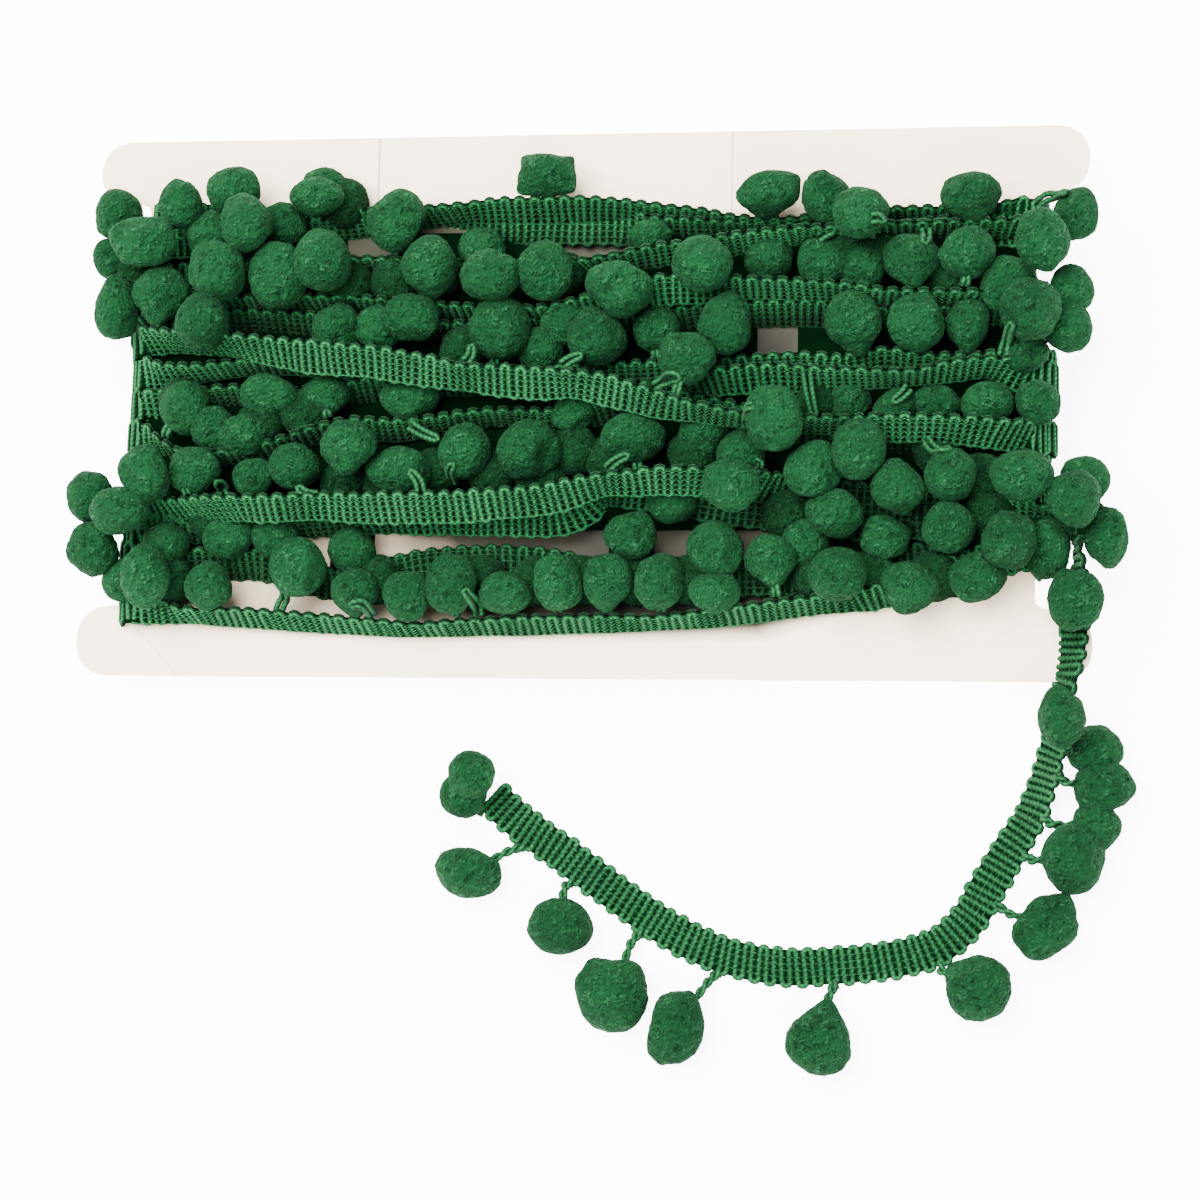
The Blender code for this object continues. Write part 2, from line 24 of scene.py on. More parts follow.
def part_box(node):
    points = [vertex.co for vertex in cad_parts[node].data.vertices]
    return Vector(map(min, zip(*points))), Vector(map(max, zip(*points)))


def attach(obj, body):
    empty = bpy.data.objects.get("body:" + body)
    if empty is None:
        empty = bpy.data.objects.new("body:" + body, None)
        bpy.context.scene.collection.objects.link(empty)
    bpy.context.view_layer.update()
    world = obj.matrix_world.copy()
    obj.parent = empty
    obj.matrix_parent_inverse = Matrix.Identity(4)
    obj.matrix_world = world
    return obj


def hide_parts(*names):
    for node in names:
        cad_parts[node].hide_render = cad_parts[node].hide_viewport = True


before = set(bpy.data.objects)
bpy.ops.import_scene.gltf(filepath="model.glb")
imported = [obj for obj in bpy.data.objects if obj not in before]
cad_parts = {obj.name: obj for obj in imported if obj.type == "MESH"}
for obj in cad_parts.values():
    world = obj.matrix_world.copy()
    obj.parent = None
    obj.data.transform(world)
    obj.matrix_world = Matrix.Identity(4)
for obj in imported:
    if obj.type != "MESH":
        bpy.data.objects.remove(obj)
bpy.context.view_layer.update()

MM = 0.001
SEED = 7
bpy.ops.object.select_all(action="DESELECT")
for name in ("card", "wound_trim", "loose_end"):
    low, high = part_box(name)
    print(name, [round(value / MM, 1) for value in (*low, *high)])

# %% [markdown]
# ## Camera, floor and light
#
# The trim is seen from straight above but for a few degrees, through a longish lens.  A camera can
# be aimed with a Track To constraint or by its angles; here its three axes are written down, since
# a small roll matters when the card's edges have to come out level.  The light is that of a small
# product studio: one wide soft source high up, a weaker one opposite, and a pale floor.

# %% Camera
CAMERA_PLACE = (0.09599, -0.16098, 0.68443)
CAMERA_RIGHT = (0.991392, 0.024572, -0.128600)
CAMERA_UP = (-0.003092, 0.986350, 0.164632)
CAMERA_BACK = (0.130890, -0.162817, 0.977936)

bpy.ops.object.camera_add(location=CAMERA_PLACE)
camera = bpy.context.object
camera.name = "camera"
axes = Matrix((CAMERA_RIGHT, CAMERA_UP, CAMERA_BACK)).transposed()
camera.rotation_euler = axes.to_euler()
camera.data.lens = 84.0
camera.data.sensor_width = 36.0
camera.data.clip_start = 0.01
bpy.context.scene.camera = camera
print("camera", [round(math.degrees(angle), 2) for angle in camera.rotation_euler])

# %% Floor and lights
WHITE = (1.0, 1.0, 1.0, 1.0)
TRIM_MIDDLE = Vector((0.0, -0.04, 0.02))


def plain_material(name, colour, roughness, inputs):
    """A material whose Principled shader has a colour, a roughness and other inputs by name."""
    material = bpy.data.materials.new(name)
    material.use_nodes = True
    shader = material.node_tree.nodes["Principled BSDF"]
    for key, value in {"Base Color": colour, "Roughness": roughness, **inputs}.items():
        shader.inputs[key].default_value = value
    return material, shader


def soft_light(name, place, size, power, colour):
    """A square area light at a place, turned towards the middle of the trim."""
    bpy.ops.object.light_add(type="AREA", location=place)
    lamp = bpy.context.object
    lamp.name = name
    lamp.data.size = size
    lamp.data.energy = power
    lamp.data.color = colour
    way = TRIM_MIDDLE - Vector(place)
    lamp.rotation_euler = way.to_track_quat("-Z", "Y").to_euler()


bpy.ops.mesh.primitive_plane_add(size=6.0)
floor = bpy.context.object
floor.name = "floor"
glow = {"Emission Color": WHITE, "Emission Strength": 8.0}
floor_finish, _ = plain_material("pale_floor", (0.94, 0.94, 0.935, 1.0), 0.9, glow)
floor.data.materials.append(floor_finish)

soft_light("key_light", (-0.32, 0.18, 1.35), size=1.1, power=116.0, colour=(1.0, 0.98, 0.955))
soft_light("fill_light", (0.5, -0.9, 1.0), size=1.4, power=34.0, colour=(0.98, 0.99, 1.0))
world = bpy.data.worlds.new("studio_air")
world.use_nodes = True
world.node_tree.nodes["Background"].inputs["Color"].default_value = WHITE
world.node_tree.nodes["Background"].inputs["Strength"].default_value = 1.0
bpy.context.scene.world = world

# %% [markdown]
# ## The way of the braid
#
# The braid is a real one, wound without a twist, so a single line says where all of it lies: over
# the card, round its right edge, back underneath and up round the left edge, again and again.  The
# tables give a few stations of each front pass, and a smooth curve goes through them.  A curve
# object with a bevel could carry the braid, but every rib, thread and stem needs to know which way
# is along, across and out of the braid, so the line is worked out as plain arrays of points.

# %% The card's levels and the passes
CARD_TOP = 16.0
TURN_X = 110.0

# Each station of a front pass: x, y, height over the card, lean of the braid in degrees.
FRONT_PASSES = [
    [(-110, 47, 3, 0), (-75.9, 46, 4, 60), (-56.1, 45.9, 4, 64), (-42.1, 46.5, 4, 72),
     (-29.3, 47, 6, 76), (-20.2, 47.3, 6, 64), (-6.6, 47.3, 6, 60), (2.4, 47.3, 6, 64),
     (11.8, 47.1, 5, 70), (22.2, 46.3, 4, 76), (31, 45.4, 3, 76), (38.2, 44.1, 3, 80),
     (49.4, 43.4, 3, 80), (64.1, 44.2, 3, 79), (76.3, 45.3, 3, 76), (90.9, 45.3, 3, 76),
     (103, 45.9, 3, 76), (110, 45, 3, 0)],
    [(-110, 41, 3, 0), (-76.3, 42.9, 2, 46), (-56.5, 44.2, 2, 60), (-36.3, 46.3, 1, 60),
     (-20.8, 44.7, 2, 32), (-5.6, 44, 2, 0), (7.5, 43.7, 2, 0), (19.5, 43.1, 2, 61),
     (34.5, 42.9, 2, 72), (54.2, 42.6, 2, 80), (73.9, 41.8, 2, 80), (93.4, 42.3, 2, 62),
     (110, 42, 2, 0)],
    [(-110, 30, 4, 0), (-70.5, 32.8, 6, 80), (-55.2, 33.9, 6, 80), (-45, 33.5, 6, 80),
     (-19.6, 31.9, 7, 78), (-1.9, 31.9, 8, 80), (5.3, 31.9, 10, 80), (11.6, 32.6, 11, 78),
     (19.9, 33.9, 11, 70), (30.5, 35.4, 11, 74), (41.9, 37, 11, 72), (46.1, 37.4, 11, 74),
     (54.8, 38.6, 11, 80), (60.3, 39.1, 10, 80), (69.3, 39.7, 9, 80), (80.4, 40.1, 9, 80),
     (92.2, 40.5, 8, 80), (105.4, 41.1, 6, 76), (110, 41, 5, 30)],
    [(-110, 24, 4, 0), (-88.1, 24, 6, 76), (-65, 24, 6, 76), (-48, 23.3, 6, 78),
     (-29.4, 21.3, 6, 76), (-9.1, 20.3, 8, 80), (6, 22.1, 10, 68), (20, 24.7, 12, 48),
     (33.2, 25, 12, 53), (43.7, 25.1, 12, 72), (58.4, 24.5, 12, 74), (67.1, 23.8, 12, 76),
     (75.5, 22.8, 11, 80), (93, 22.9, 9, 80), (105.4, 23.1, 6, 72), (110, 24, 5, 0)],
    [(-110, 19, 3, 0), (-88.7, 20.4, 3, 58), (-65.5, 19.1, 3, 58), (-29.9, 17.2, 3, 70),
     (5.2, 18.7, 3, 60), (43.1, 20.8, 4, 60), (62, 20.6, 4, 60), (79, 19.4, 4, 71),
     (103.1, 19.9, 3, 60), (110, 19, 3, 0)],
    [(-110, -1, 3, 40), (-98, -0.7, 3, 56), (-87.5, 1, 4, 68), (-69.6, 0.4, 4, 68),
     (-39.3, 3.5, 4, 58), (-4.1, 4.8, 5, 58), (30.5, 6, 5, 59), (55, 6.6, 7, 51),
     (64.7, 5.8, 7, 52), (75.5, 7.9, 6, 52), (86.3, 6.8, 6, 64), (103.1, 7.7, 4, 60),
     (110, 8, 3, 30)],
    [(-110, 7, 4, 30), (-103.2, 5.8, 6, 58), (-93.4, 6.2, 8, 78), (-82.7, 7.2, 9, 80),
     (-73.8, 7.6, 9, 76), (-65.7, 7.8, 9, 60), (-50.4, 5.4, 9, 62), (-30.8, 4.5, 9, 58),
     (-3.4, 1.3, 9, 69), (16.3, 0.1, 9, 69), (28.1, 1.8, 10, 63), (37, 1.9, 12, 58),
     (48.4, 2.7, 12, 52), (58.5, 2.4, 12, 62), (65.2, 2.4, 12, 68), (82.1, 2.7, 12, 80),
     (91.4, 4.4, 11, 68), (101.4, 5.6, 9, 70), (110, 4.2, 5, 40)],
    [(-110, -9, 3, 40), (-103.6, -12.2, 4, 70), (-97.8, -14.5, 5, 80), (-90.1, -15, 6, 80),
     (-83.7, -14.7, 6, 80), (-79.2, -13.5, 6, 80), (-74.6, -12.5, 6, 80), (-67.9, -10.2, 6, 80),
     (-58.6, -7.9, 6, 74), (-53.3, -8, 6, 66), (-43.5, -8.3, 6, 66), (-33.5, -7, 6, 74),
     (-25.3, -5.7, 6, 74), (-16.1, -5.2, 6, 76), (-8.6, -6.3, 6, 62), (-2.9, -6.5, 6, 56),
     (2.8, -5.3, 6, 64), (10.1, -3.6, 6, 66), (25.7, -1.5, 5, 66), (55, -8.4, 4, 58),
     (79.2, -11, 4, 58), (103.1, -9.9, 3, 50), (110, -10, 3, 0)],
    [(-110, -40, 3, 0), (-103.7, -41, 3, 45), (-85.8, -41.5, 3, 40), (-75.4, -41.9, 3, 34),
     (-60.3, -46.4, 3, 40), (-50.3, -45.4, 3, 27), (-37.8, -42.6, 3, 0), (-30.4, -41.9, 3, 10),
     (-19, -41.3, 3, 14), (-8.8, -41.8, 3, 16), (0.6, -43.3, 3, 16), (9.2, -44.3, 3, 18),
     (62, -44, 3, 0), (110, -36, 3, 0)],
    [(-110, -34, 3, 0), (-103.8, -33.1, 4, 40), (-67.7, -32, 6, 55), (-47.2, -31.4, 8, 56),
     (-37.1, -31.3, 9, 40), (-29.4, -31.5, 10, 38), (-12.2, -31.8, 10, 40), (-2.4, -31.8, 10, 44),
     (3.7, -29.3, 10, 44), (8.7, -25.4, 10, 64), (22, -25, 6.5, 30), (43, -28, 3, 0),
     (79, -31, 2, 0), (110, -26, 3, 0)],
    [(-110, -52.2, 4, 15), (-104, -53.4, 5, 50), (-98, -54.3, 5, 70), (-92.9, -54.9, 6, 75),
     (-79.5, -55.5, 6, 70), (-63.4, -56.6, 6, 70), (-47.4, -57.6, 6, 75), (-37.7, -58.1, 6, 80),
     (-26.6, -57.6, 6, 76), (-10.8, -57, 6, 71), (4.8, -56.5, 6, 72), (20.4, -56.2, 6, 78),
     (35.8, -54.9, 6, 73), (45.4, -53.6, 6, 70), (58.8, -51.8, 6, 71), (67.9, -50.6, 6, 67),
     (76.7, -49.2, 7, 59), (110, -38, 5, 0)],
    [(-110, 15.1, 5, 50), (-100.9, 14, 9, 64), (-84.1, 10.9, 16, 64), (-72.6, 8.5, 18, 51),
     (-63.3, 6.9, 19, 38), (-52.1, 5.8, 20, 45), (-43.1, 4.5, 20, 44), (-34.2, 3, 20, 44),
     (-25.3, 1.5, 20, 60), (-16.4, 0.5, 20, 44), (-7.6, -0.3, 20, 44), (1.1, -0.4, 20, 56),
     (9.6, -2.2, 20, 44), (18.4, -4.6, 20, 55), (22.7, -5.8, 19.5, 62), (27.8, -6.7, 19, 69),
     (32.2, -7.3, 19, 74), (40.7, -8.7, 18, 80), (51, -9.4, 17, 80), (62.9, -9.9, 16, 76),
     (70, -10.2, 15, 63), (78, -10.5, 15, 56), (89.1, -10.6, 14.5, 58), (101.4, -11.2, 12, 50),
     (110, -11, 6, 40)],
    [(-110, -29, 6, 30), (-98.7, -29.2, 9, 59), (-82.6, -30.1, 17, 57), (-74.3, -30.7, 19, 54),
     (-61.7, -30.2, 19, 58), (-51.1, -30.6, 19, 48), (-40.1, -30.8, 20, 44), (-32.5, -30.7, 20, 46),
     (-24, -30.5, 20, 42), (-16.5, -29.8, 20, 47), (-8.7, -29.3, 20, 52), (-1.3, -28, 20, 48),
     (9.5, -25, 20, 66), (16.2, -24.8, 20, 60), (22.2, -24.2, 20, 53), (31.6, -24.1, 18.5, 54),
     (40, -23.4, 14, 53), (46.5, -23.1, 7.5, 50), (54, -23.6, 3.4, 25), (64, -25, 2.2, 10),
     (96, -28, 3.5, 10), (109, -29, 5.5, 55), (116, -29.5, 6.5, 80)],
]
# The pass under the card after each front pass but the last: height over the surface at its right
# end, its middle and its left end, and how far its middle is moved across the card.
BACK_PASSES = [
    (13.2, 13.2, 13.2, 0), (11.0, 10.4, 11.0, 0), (3.0, 0.9, 0.9, 0), (13.2, 13.2, 13.2, 0),
    (11.0, 9.0, 11.0, 0), (2.8, 0.9, 2.8, 2), (13.2, 13.2, 13.2, 0), (11.0, 11.0, 13.2, 0),
    (4.8, 0.9, 4.8, -4), (2.8, 2.8, 0.9, 2), (2.2, 0.9, 0.9, 11.5), (0.9, 0.9, 2.8, 0),
]
# How far each turn stands out past TURN_X, round the right edge and then round the left one.
RIGHT_BULGES = (4.6, 4.2, 4.8, 4.6, 5.4, 6.4, 6.6, 6.4, 4.6, 4.6, 4.6, 5.0)
LEFT_BULGES = (4.6, 4.2, 4.6, 4.4, 3.6, 4.0, 3.8, 4.4, 4.6, 4.8, 4.4, 4.6)
# The loose end's stations: x, y, height over the surface, lean of the braid in degrees.
LOOSE_ROUTE = [
    (116.3, -29.5, 22.5, 80), (120, -32, 22, 82), (121.4, -38, 21.5, 84), (121.5, -47, 20.8, 62),
    (120.6, -56, 18.9, 44), (119.8, -63, 18.2, 46), (118.2, -71, 17.6, 56), (116.6, -80, 8.5, 50),
    (114.2, -90, 4.3, 46), (110.6, -100, 3.3, 34), (105.8, -108, 1.9, 16), (101.1, -116, 0.9, 0),
    (95.1, -126, 0.9, 0), (86.8, -132.4, 0.9, 0), (74.8, -135.4, 0.9, 0), (59.9, -137.0, 0.9, 0),
    (48.3, -137.0, 0.9, 0), (36.1, -134.4, 0.9, 0), (26.2, -130.2, 0.9, 0), (16.3, -124.2, 0.9, 0),
    (6.2, -117.2, 0.9, 0), (-3.9, -110.0, 0.9, 0), (-14, -103.0, 0.9, 0), (-22, -96, 0.9, 0),
]
print("front passes", len(FRONT_PASSES), "back passes", len(BACK_PASSES))

# %% A smooth curve through stations
PATH_STEP = 2.0


def unit(rows):
    """Each row made one long."""
    return rows / np.maximum(np.linalg.norm(rows, axis=-1, keepdims=True), 1e-9)


def lengths_along(path):
    """Length of the path up to each of its points."""
    steps = np.linalg.norm(np.diff(path[:, :3], axis=0), axis=1)
    return np.concatenate(((0.0,), np.cumsum(steps)))


def smooth_path(stations):
    """Points about one step apart on a smooth curve through the stations, with the lean."""
    rows = np.array(stations, float)
    rows = np.vstack((2 * rows[0] - rows[1], rows, 2 * rows[-1] - rows[-2]))
    path = []
    for i in range(1, len(rows) - 2):
        before, start, end, after = rows[i - 1:i + 3]
        count = max(1, round(float(np.linalg.norm((end - start)[:3])) / PATH_STEP))
        t = (np.arange(count) / count)[:, None]
        piece = 0.5 * (2 * start + (end - before) * t
                       + (2 * before - 5 * start + 4 * end - after) * t ** 2
                       + (3 * start - before - 3 * end + after) * t ** 3)
        ease = (t * t * (3 - 2 * t))[:, 0]
        piece[:, 3] = start[3] + (end[3] - start[3]) * ease
        path.append(piece)
    path.append(rows[-2:-1])
    return np.vstack(path)


tail = smooth_path(LOOSE_ROUTE)
print("loose end", len(tail), "points,", round(lengths_along(tail)[-1], 1), "mm")

# %% The whole winding, front passes, turns and back passes
TURN_POINTS = 14


def turn_arc(side, y, z_from, z_to, bulge):
    """The braid's way round the card's edge, between a front and a back pass."""
    angle = np.linspace(0, math.pi, TURN_POINTS)[1:-1]
    arc = np.zeros((len(angle), 4))
    arc[:, 0] = side * (TURN_X + bulge * np.sin(angle))
    arc[:, 1] = y
    arc[:, 2] = (z_from + z_to) / 2 + (z_from - z_to) / 2 * np.cos(angle)
    return arc


def winding_parts():
    """The parts of the wound line in their order: front, right turn, back, left turn, and on."""
    parts = []
    for number, stations in enumerate(FRONT_PASSES):
        parts.append(smooth_path([(x, y, CARD_TOP + h, lean) for x, y, h, lean in stations]))
        if number == len(BACK_PASSES):
            break
        z_right, z_middle, z_left, shift = BACK_PASSES[number]
        y_right = stations[-1][1]
        _, y_left, height, _ = FRONT_PASSES[number + 1][0]
        middle = (0, (y_right + y_left) / 2 + shift, z_middle, 0)
        back = smooth_path([(TURN_X, y_right, z_right, 0), middle, (-TURN_X, y_left, z_left, 0)])
        parts.append(turn_arc(1, y_right, parts[-1][-1, 2], z_right, RIGHT_BULGES[number]))
        parts.append(back)
        parts.append(turn_arc(-1, y_left, z_left, CARD_TOP + height, LEFT_BULGES[number]))
    return parts


parts = winding_parts()
joined = [parts[0]]
for part in parts[1:]:
    gap = np.linalg.norm(part[0, :3] - joined[-1][-1, :3])
    joined.append(part[1:] if gap < 1e-6 else part)
winding = np.vstack(joined)
print("winding", len(parts), "parts,", len(winding), "points")

# %% Directions along, across and out of the braid
EVEN_STEP = 0.5


class Way:
    """A line with the directions across the braid and out of its face."""

    def __init__(self, path, lies_flat):
        along = lengths_along(path)
        self.length = float(along[-1])
        self.at = np.linspace(0, self.length, max(2, round(self.length / EVEN_STEP)))
        rows = np.column_stack([np.interp(self.at, along, path[:, k]) for k in range(4)])
        self.point = rows[:, :3]
        tangent = unit(np.gradient(self.point, axis=0))
        if lies_flat:
            across = unit(np.cross((0.0, 0.0, 1.0), tangent))
        else:
            across = unit(np.array((0.0, 1.0, 0.0)) - tangent * tangent[:, 1:2])
        lean = np.radians(rows[:, 3:4])
        self.across = across * np.cos(lean) + np.cross(tangent, across) * np.sin(lean)
        self.face = np.cross(tangent, self.across)

    def read(self, values, at):
        """Values of one of the directions at some lengths."""
        return np.column_stack([np.interp(at, self.at, values[:, k]) for k in range(3)])

    def place(self, u, v, w):
        """Points at u along the line, v across the braid and w out of its face."""
        across = unit(self.read(self.across, u))
        face = unit(self.read(self.face, u))
        return self.read(self.point, u) + across * v[:, None] + face * w[:, None]


wound_way = Way(winding, lies_flat=False)
loose_way = Way(tail, lies_flat=True)
print("wound", round(wound_way.length), "mm, loose", round(loose_way.length), "mm")

# %% Where each front pass starts and ends along the braid
FAR = 1e3
along_winding = lengths_along(winding)


def length_at(point, start):
    """Length along the winding at which it passes a point, looked for after a start."""
    distance = np.linalg.norm(winding[:, :3] - point, axis=1) + (along_winding < start) * FAR
    return float(along_winding[int(np.argmin(distance))])


front_spans = []
cursor = 0.0
for front in parts[::4]:
    first = length_at(front[0, :3], cursor)
    cursor = length_at(front[-1, :3], first)
    front_spans.append((first, cursor))
print("front spans", [tuple(round(value) for value in span) for span in front_spans])

# %% [markdown]
# ## Meshes from swept sections
#
# A rib is a soft round yarn that runs back and forth across the braid and turns in a small loop at
# each edge.  There are more than three thousand ribs, so none of them can be an object of its own,
# and an Array modifier along a curve would stretch them where the braid bends.  One function sweeps
# a round section along any polyline and keeps the yarn's own coordinates in a UV map: U is the
# length along the yarn and V goes once round it, both of which the twist of the plies needs.
#
# Each shape also carries a tone.  Little light reaches the middle of the winding, so the tone gets
# darker there by depth.

# %% Shade by depth
# Share of light by height over the card, and share of shade by place along X and along Y.
LIGHT_BY_HEIGHT = ((1.0, 4.0, 7.0, 10.0), (0.16, 0.34, 0.66, 1.0))
SHADE_BY_X = ((98.0, 110.0), (1.0, 0.0))
SHADE_BY_Y = ((-56.0, -50.0, 40.0, 48.0), (0.0, 1.0, 1.0, 0.3))


def depth_tone(points, tone):
    """A tone made darker for points low in the middle of the winding."""
    light = np.interp(points[..., 2] - CARD_TOP, *LIGHT_BY_HEIGHT)
    inside = np.interp(np.abs(points[..., 0]), *SHADE_BY_X)
    inside = inside * np.interp(points[..., 1], *SHADE_BY_Y)
    return tone * (1 - inside + inside * light)


for height in (2, 6, 12):
    light = depth_tone(np.array((0.0, 0.0, CARD_TOP + height)), 1.0)
    print("light at", height, "mm over the card", round(float(light), 2))

# %% Sweep a section along a polyline
def tube_faces(count, sides):
    """Quads between the rings of a tube, and the two faces that close its ends."""
    i = np.arange(count - 1)[:, None] * sides
    k = np.arange(sides)[None, :]
    j = (k + 1) % sides
    quads = np.stack((i + k, i + j, i + j + sides, i + k + sides), axis=-1).reshape(-1, 4)
    return quads, [list(range(sides))[::-1], [(count - 1) * sides + n for n in range(sides)]]


def tube_uvs(along, v_start, v_end):
    """UVs of those quads: U along the tube, V from the start to the end of each side."""
    u0, u1 = np.repeat(along[:-1], len(v_start)), np.repeat(along[1:], len(v_start))
    v0, v1 = np.tile(v_start, len(along) - 1), np.tile(v_end, len(along) - 1)
    corners = ((u0, v0), (u0, v1), (u1, v1), (u1, v0))
    return np.stack([np.stack(corner, -1) for corner in corners], axis=1).reshape(-1, 2)


def side_and_top(points, up):
    """Two directions square to a line at each of its points, the second as near to up as it can."""
    tangent = unit(np.gradient(points, axis=0))
    side = unit(np.cross(tangent, up))
    return side, np.cross(side, tangent)


def sweep(points, up, radius, sides):
    """Vertices, quads, UVs and end caps of a tube; up says which way its first side looks."""
    side, top = side_and_top(points, up)
    angle = np.arange(sides) * math.tau / sides + math.pi / 2
    outward = side[:, None, :] * np.cos(angle)[None, :, None]
    outward = outward + top[:, None, :] * np.sin(angle)[None, :, None]
    radius = np.broadcast_to(np.asarray(radius, float), (len(points),))
    verts = points[:, None, :] + outward * radius[:, None, None]
    quads, caps = tube_faces(len(points), sides)
    v_start = np.arange(sides) / sides
    uvs = tube_uvs(lengths_along(points), v_start, v_start + 1 / sides)
    return verts.reshape(-1, 3), quads, uvs, caps


print("quads of a tube with 4 rings and 5 sides", len(tube_faces(4, 5)[0]))

# %% Gather small shapes into one piece
class Heap:
    """Gathers many small shapes and makes one mesh object of them."""

    def __init__(self):
        self.verts, self.quads, self.uvs, self.caps, self.tones, self.count = [], [], [], [], [], 0

    def add(self, verts, quads, uvs, caps, tone):
        """One more shape, with one tone or with one for each vertex."""
        self.verts.append(verts)
        self.quads.append(np.asarray(quads) + self.count)
        self.uvs.append(uvs)
        self.caps += [[index + self.count for index in cap] for cap in caps]
        self.tones.append(np.broadcast_to(np.asarray(tone, float), (len(verts),)))
        self.count += len(verts)

    def make(self, name, material, slot):
        """The gathered shapes as one smooth-shaded object that rides on the body."""
        faces = [tuple(row) for row in np.vstack(self.quads).tolist()]
        faces += [tuple(cap) for cap in self.caps]
        mesh = bpy.data.meshes.new(name)
        mesh.from_pydata((np.vstack(self.verts) * MM).tolist(), [], faces)
        uvs = np.vstack(self.uvs)
        flat = np.zeros((len(mesh.loops), 2))
        flat[:len(uvs)] = uvs
        mesh.uv_layers.new(name="yarn").data.foreach_set("uv", flat.ravel())
        tones = np.concatenate(self.tones)
        colours = np.column_stack((tones, tones, tones, np.ones(len(tones))))
        layer = mesh.color_attributes.new("tone", "FLOAT_COLOR", "POINT")
        layer.data.foreach_set("color", colours.ravel())
        mesh.shade_smooth()
        mesh.materials.append(material)
        piece = bpy.data.objects.new(name, mesh)
        bpy.context.scene.collection.objects.link(piece)
        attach(piece, "root")
        print(name, "triangles", sum(len(face) - 2 for face in faces))
        return piece

# %% [markdown]
# ## Finishes
#
# Yarn: a matte two-ply thread.  Its twist is a slanting stripe in the yarn's own coordinates, which
# darkens the valley between the plies as painted shade and sinks it a little; its flanks get painted
# shade and its faces a painted highlight.  Felt: wool fibres in every direction, seen as short light
# and dark flecks, with painted highlights where fibres stand up, painted shade beside them and where
# fibres part, and painted light and shade on its lumps.  Both take the tone that each shape carries
# in an attribute, so that neighbours differ a little, and the tone also holds painted shade deep in
# the winding.  Board: coated paper with a faint mottle and a soft tooth, and painted shade under the
# winding.
#
# A node tree can be wired by hand in the shader editor.  Here a few helpers add a node, feed it
# with sockets or numbers, and give its result back, so a finish reads like a sum.

# %% Small helpers for node trees
def add_node(tree, kind, inputs, **settings):
    """A new node with its settings, and its inputs by name or number: a socket or a value each."""
    node = tree.nodes.new(kind)
    for key, value in settings.items():
        setattr(node, key, value)
    for key, value in inputs.items():
        if isinstance(value, bpy.types.NodeSocket):
            tree.links.new(value, node.inputs[key])
        else:
            node.inputs[key].default_value = value
    return node


def calculate(tree, operation, *values):
    """A Math node's result; each value is a socket or a number."""
    node = add_node(tree, "ShaderNodeMath", dict(enumerate(values)), operation=operation)
    return node.outputs[0]


def ramp(tree, source, *stops):
    """A colour ramp fed by a socket; each stop is a place and a colour, or a number for a grey."""
    node = add_node(tree, "ShaderNodeValToRGB", {"Fac": source})
    elements = node.color_ramp.elements
    elements.remove(elements[-1])
    for number, (place, colour) in enumerate(stops):
        element = elements[0] if number == 0 else elements.new(place)
        element.position = place
        element.color = colour if isinstance(colour, tuple) else (colour, colour, colour, 1.0)
    return node.outputs["Color"]


def mix_colours(tree, blend, factor, first, second):
    """Two colours mixed; each input is a socket or a value."""
    inputs = {0: factor, 6: first, 7: second}
    node = add_node(tree, "ShaderNodeMix", inputs, data_type="RGBA", blend_type=blend)
    return node.outputs[2]


def tint(tree, colour, shade):
    """A colour multiplied by a shade."""
    return mix_colours(tree, "MULTIPLY", 1.0, colour, shade)


# %% Patterns in the object's own coordinates
def object_place(tree):
    """The place on the object, in metres."""
    return add_node(tree, "ShaderNodeTexCoord", {}).outputs["Object"]


def moved(tree, place, shift):
    """A place moved by a shift."""
    node = add_node(tree, "ShaderNodeVectorMath", {0: place, 1: shift}, operation="ADD")
    return node.outputs["Vector"]


def split(tree, vector):
    """The X, Y and Z of a vector, by name."""
    return add_node(tree, "ShaderNodeSeparateXYZ", {"Vector": vector}).outputs


def noise_at(tree, place, scale, detail, distortion=0.0, roughness=0.5):
    """A noise at a place; scale is in bumps per metre."""
    inputs = {"Vector": place, "Scale": scale, "Detail": detail, "Roughness": roughness,
              "Distortion": distortion}
    return add_node(tree, "ShaderNodeTexNoise", inputs).outputs["Fac"]


def object_noise(tree, *measures):
    """A noise over the whole object, by its scale, detail, distortion and roughness."""
    return noise_at(tree, object_place(tree), *measures)


def sink(tree, shader, height, strength, distance):
    """Bump from a height."""
    inputs = {"Height": height, "Strength": strength, "Distance": distance}
    bump = add_node(tree, "ShaderNodeBump", inputs)
    tree.links.new(bump.outputs["Normal"], shader.inputs["Normal"])


# %% The dye and the painted shade that yarn and felt share
GREEN_DEEP = (0.0030, 0.029, 0.0090, 1.0)
GREEN_MID = (0.0046, 0.042, 0.0130, 1.0)
GREEN_LIGHT = (0.0060, 0.053, 0.0168, 1.0)
# What the tone of each shape does to its colour, from deep painted shade to full light.
DYE_AND_SHADE_BY_TONE = ((0.0, 0.05), (0.3, 0.80), (1.0, 1.50))


def dye_and_shade(tree, shader, colour, patches, low, high):
    """Cloud a colour, shade it by each shape's tone, which holds painted shade, and put it on."""
    colour = tint(tree, colour, ramp(tree, patches, (0.3, low), (0.7, high)))
    tone = add_node(tree, "ShaderNodeAttribute", {}, attribute_name="tone").outputs["Fac"]
    colour = tint(tree, colour, ramp(tree, tone, *DYE_AND_SHADE_BY_TONE))
    tree.links.new(colour, shader.inputs["Base Color"])


# %% Yarn
# A noise is given by its scale, its detail and, where they matter, its distortion and roughness.
YARN_FIBRES = (2600.0, 3.0, 1.5)
YARN_PATCHES = (160.0, 2.0)
YARN_RELIEF = 0.00022
TWIST_PITCH = 2.4
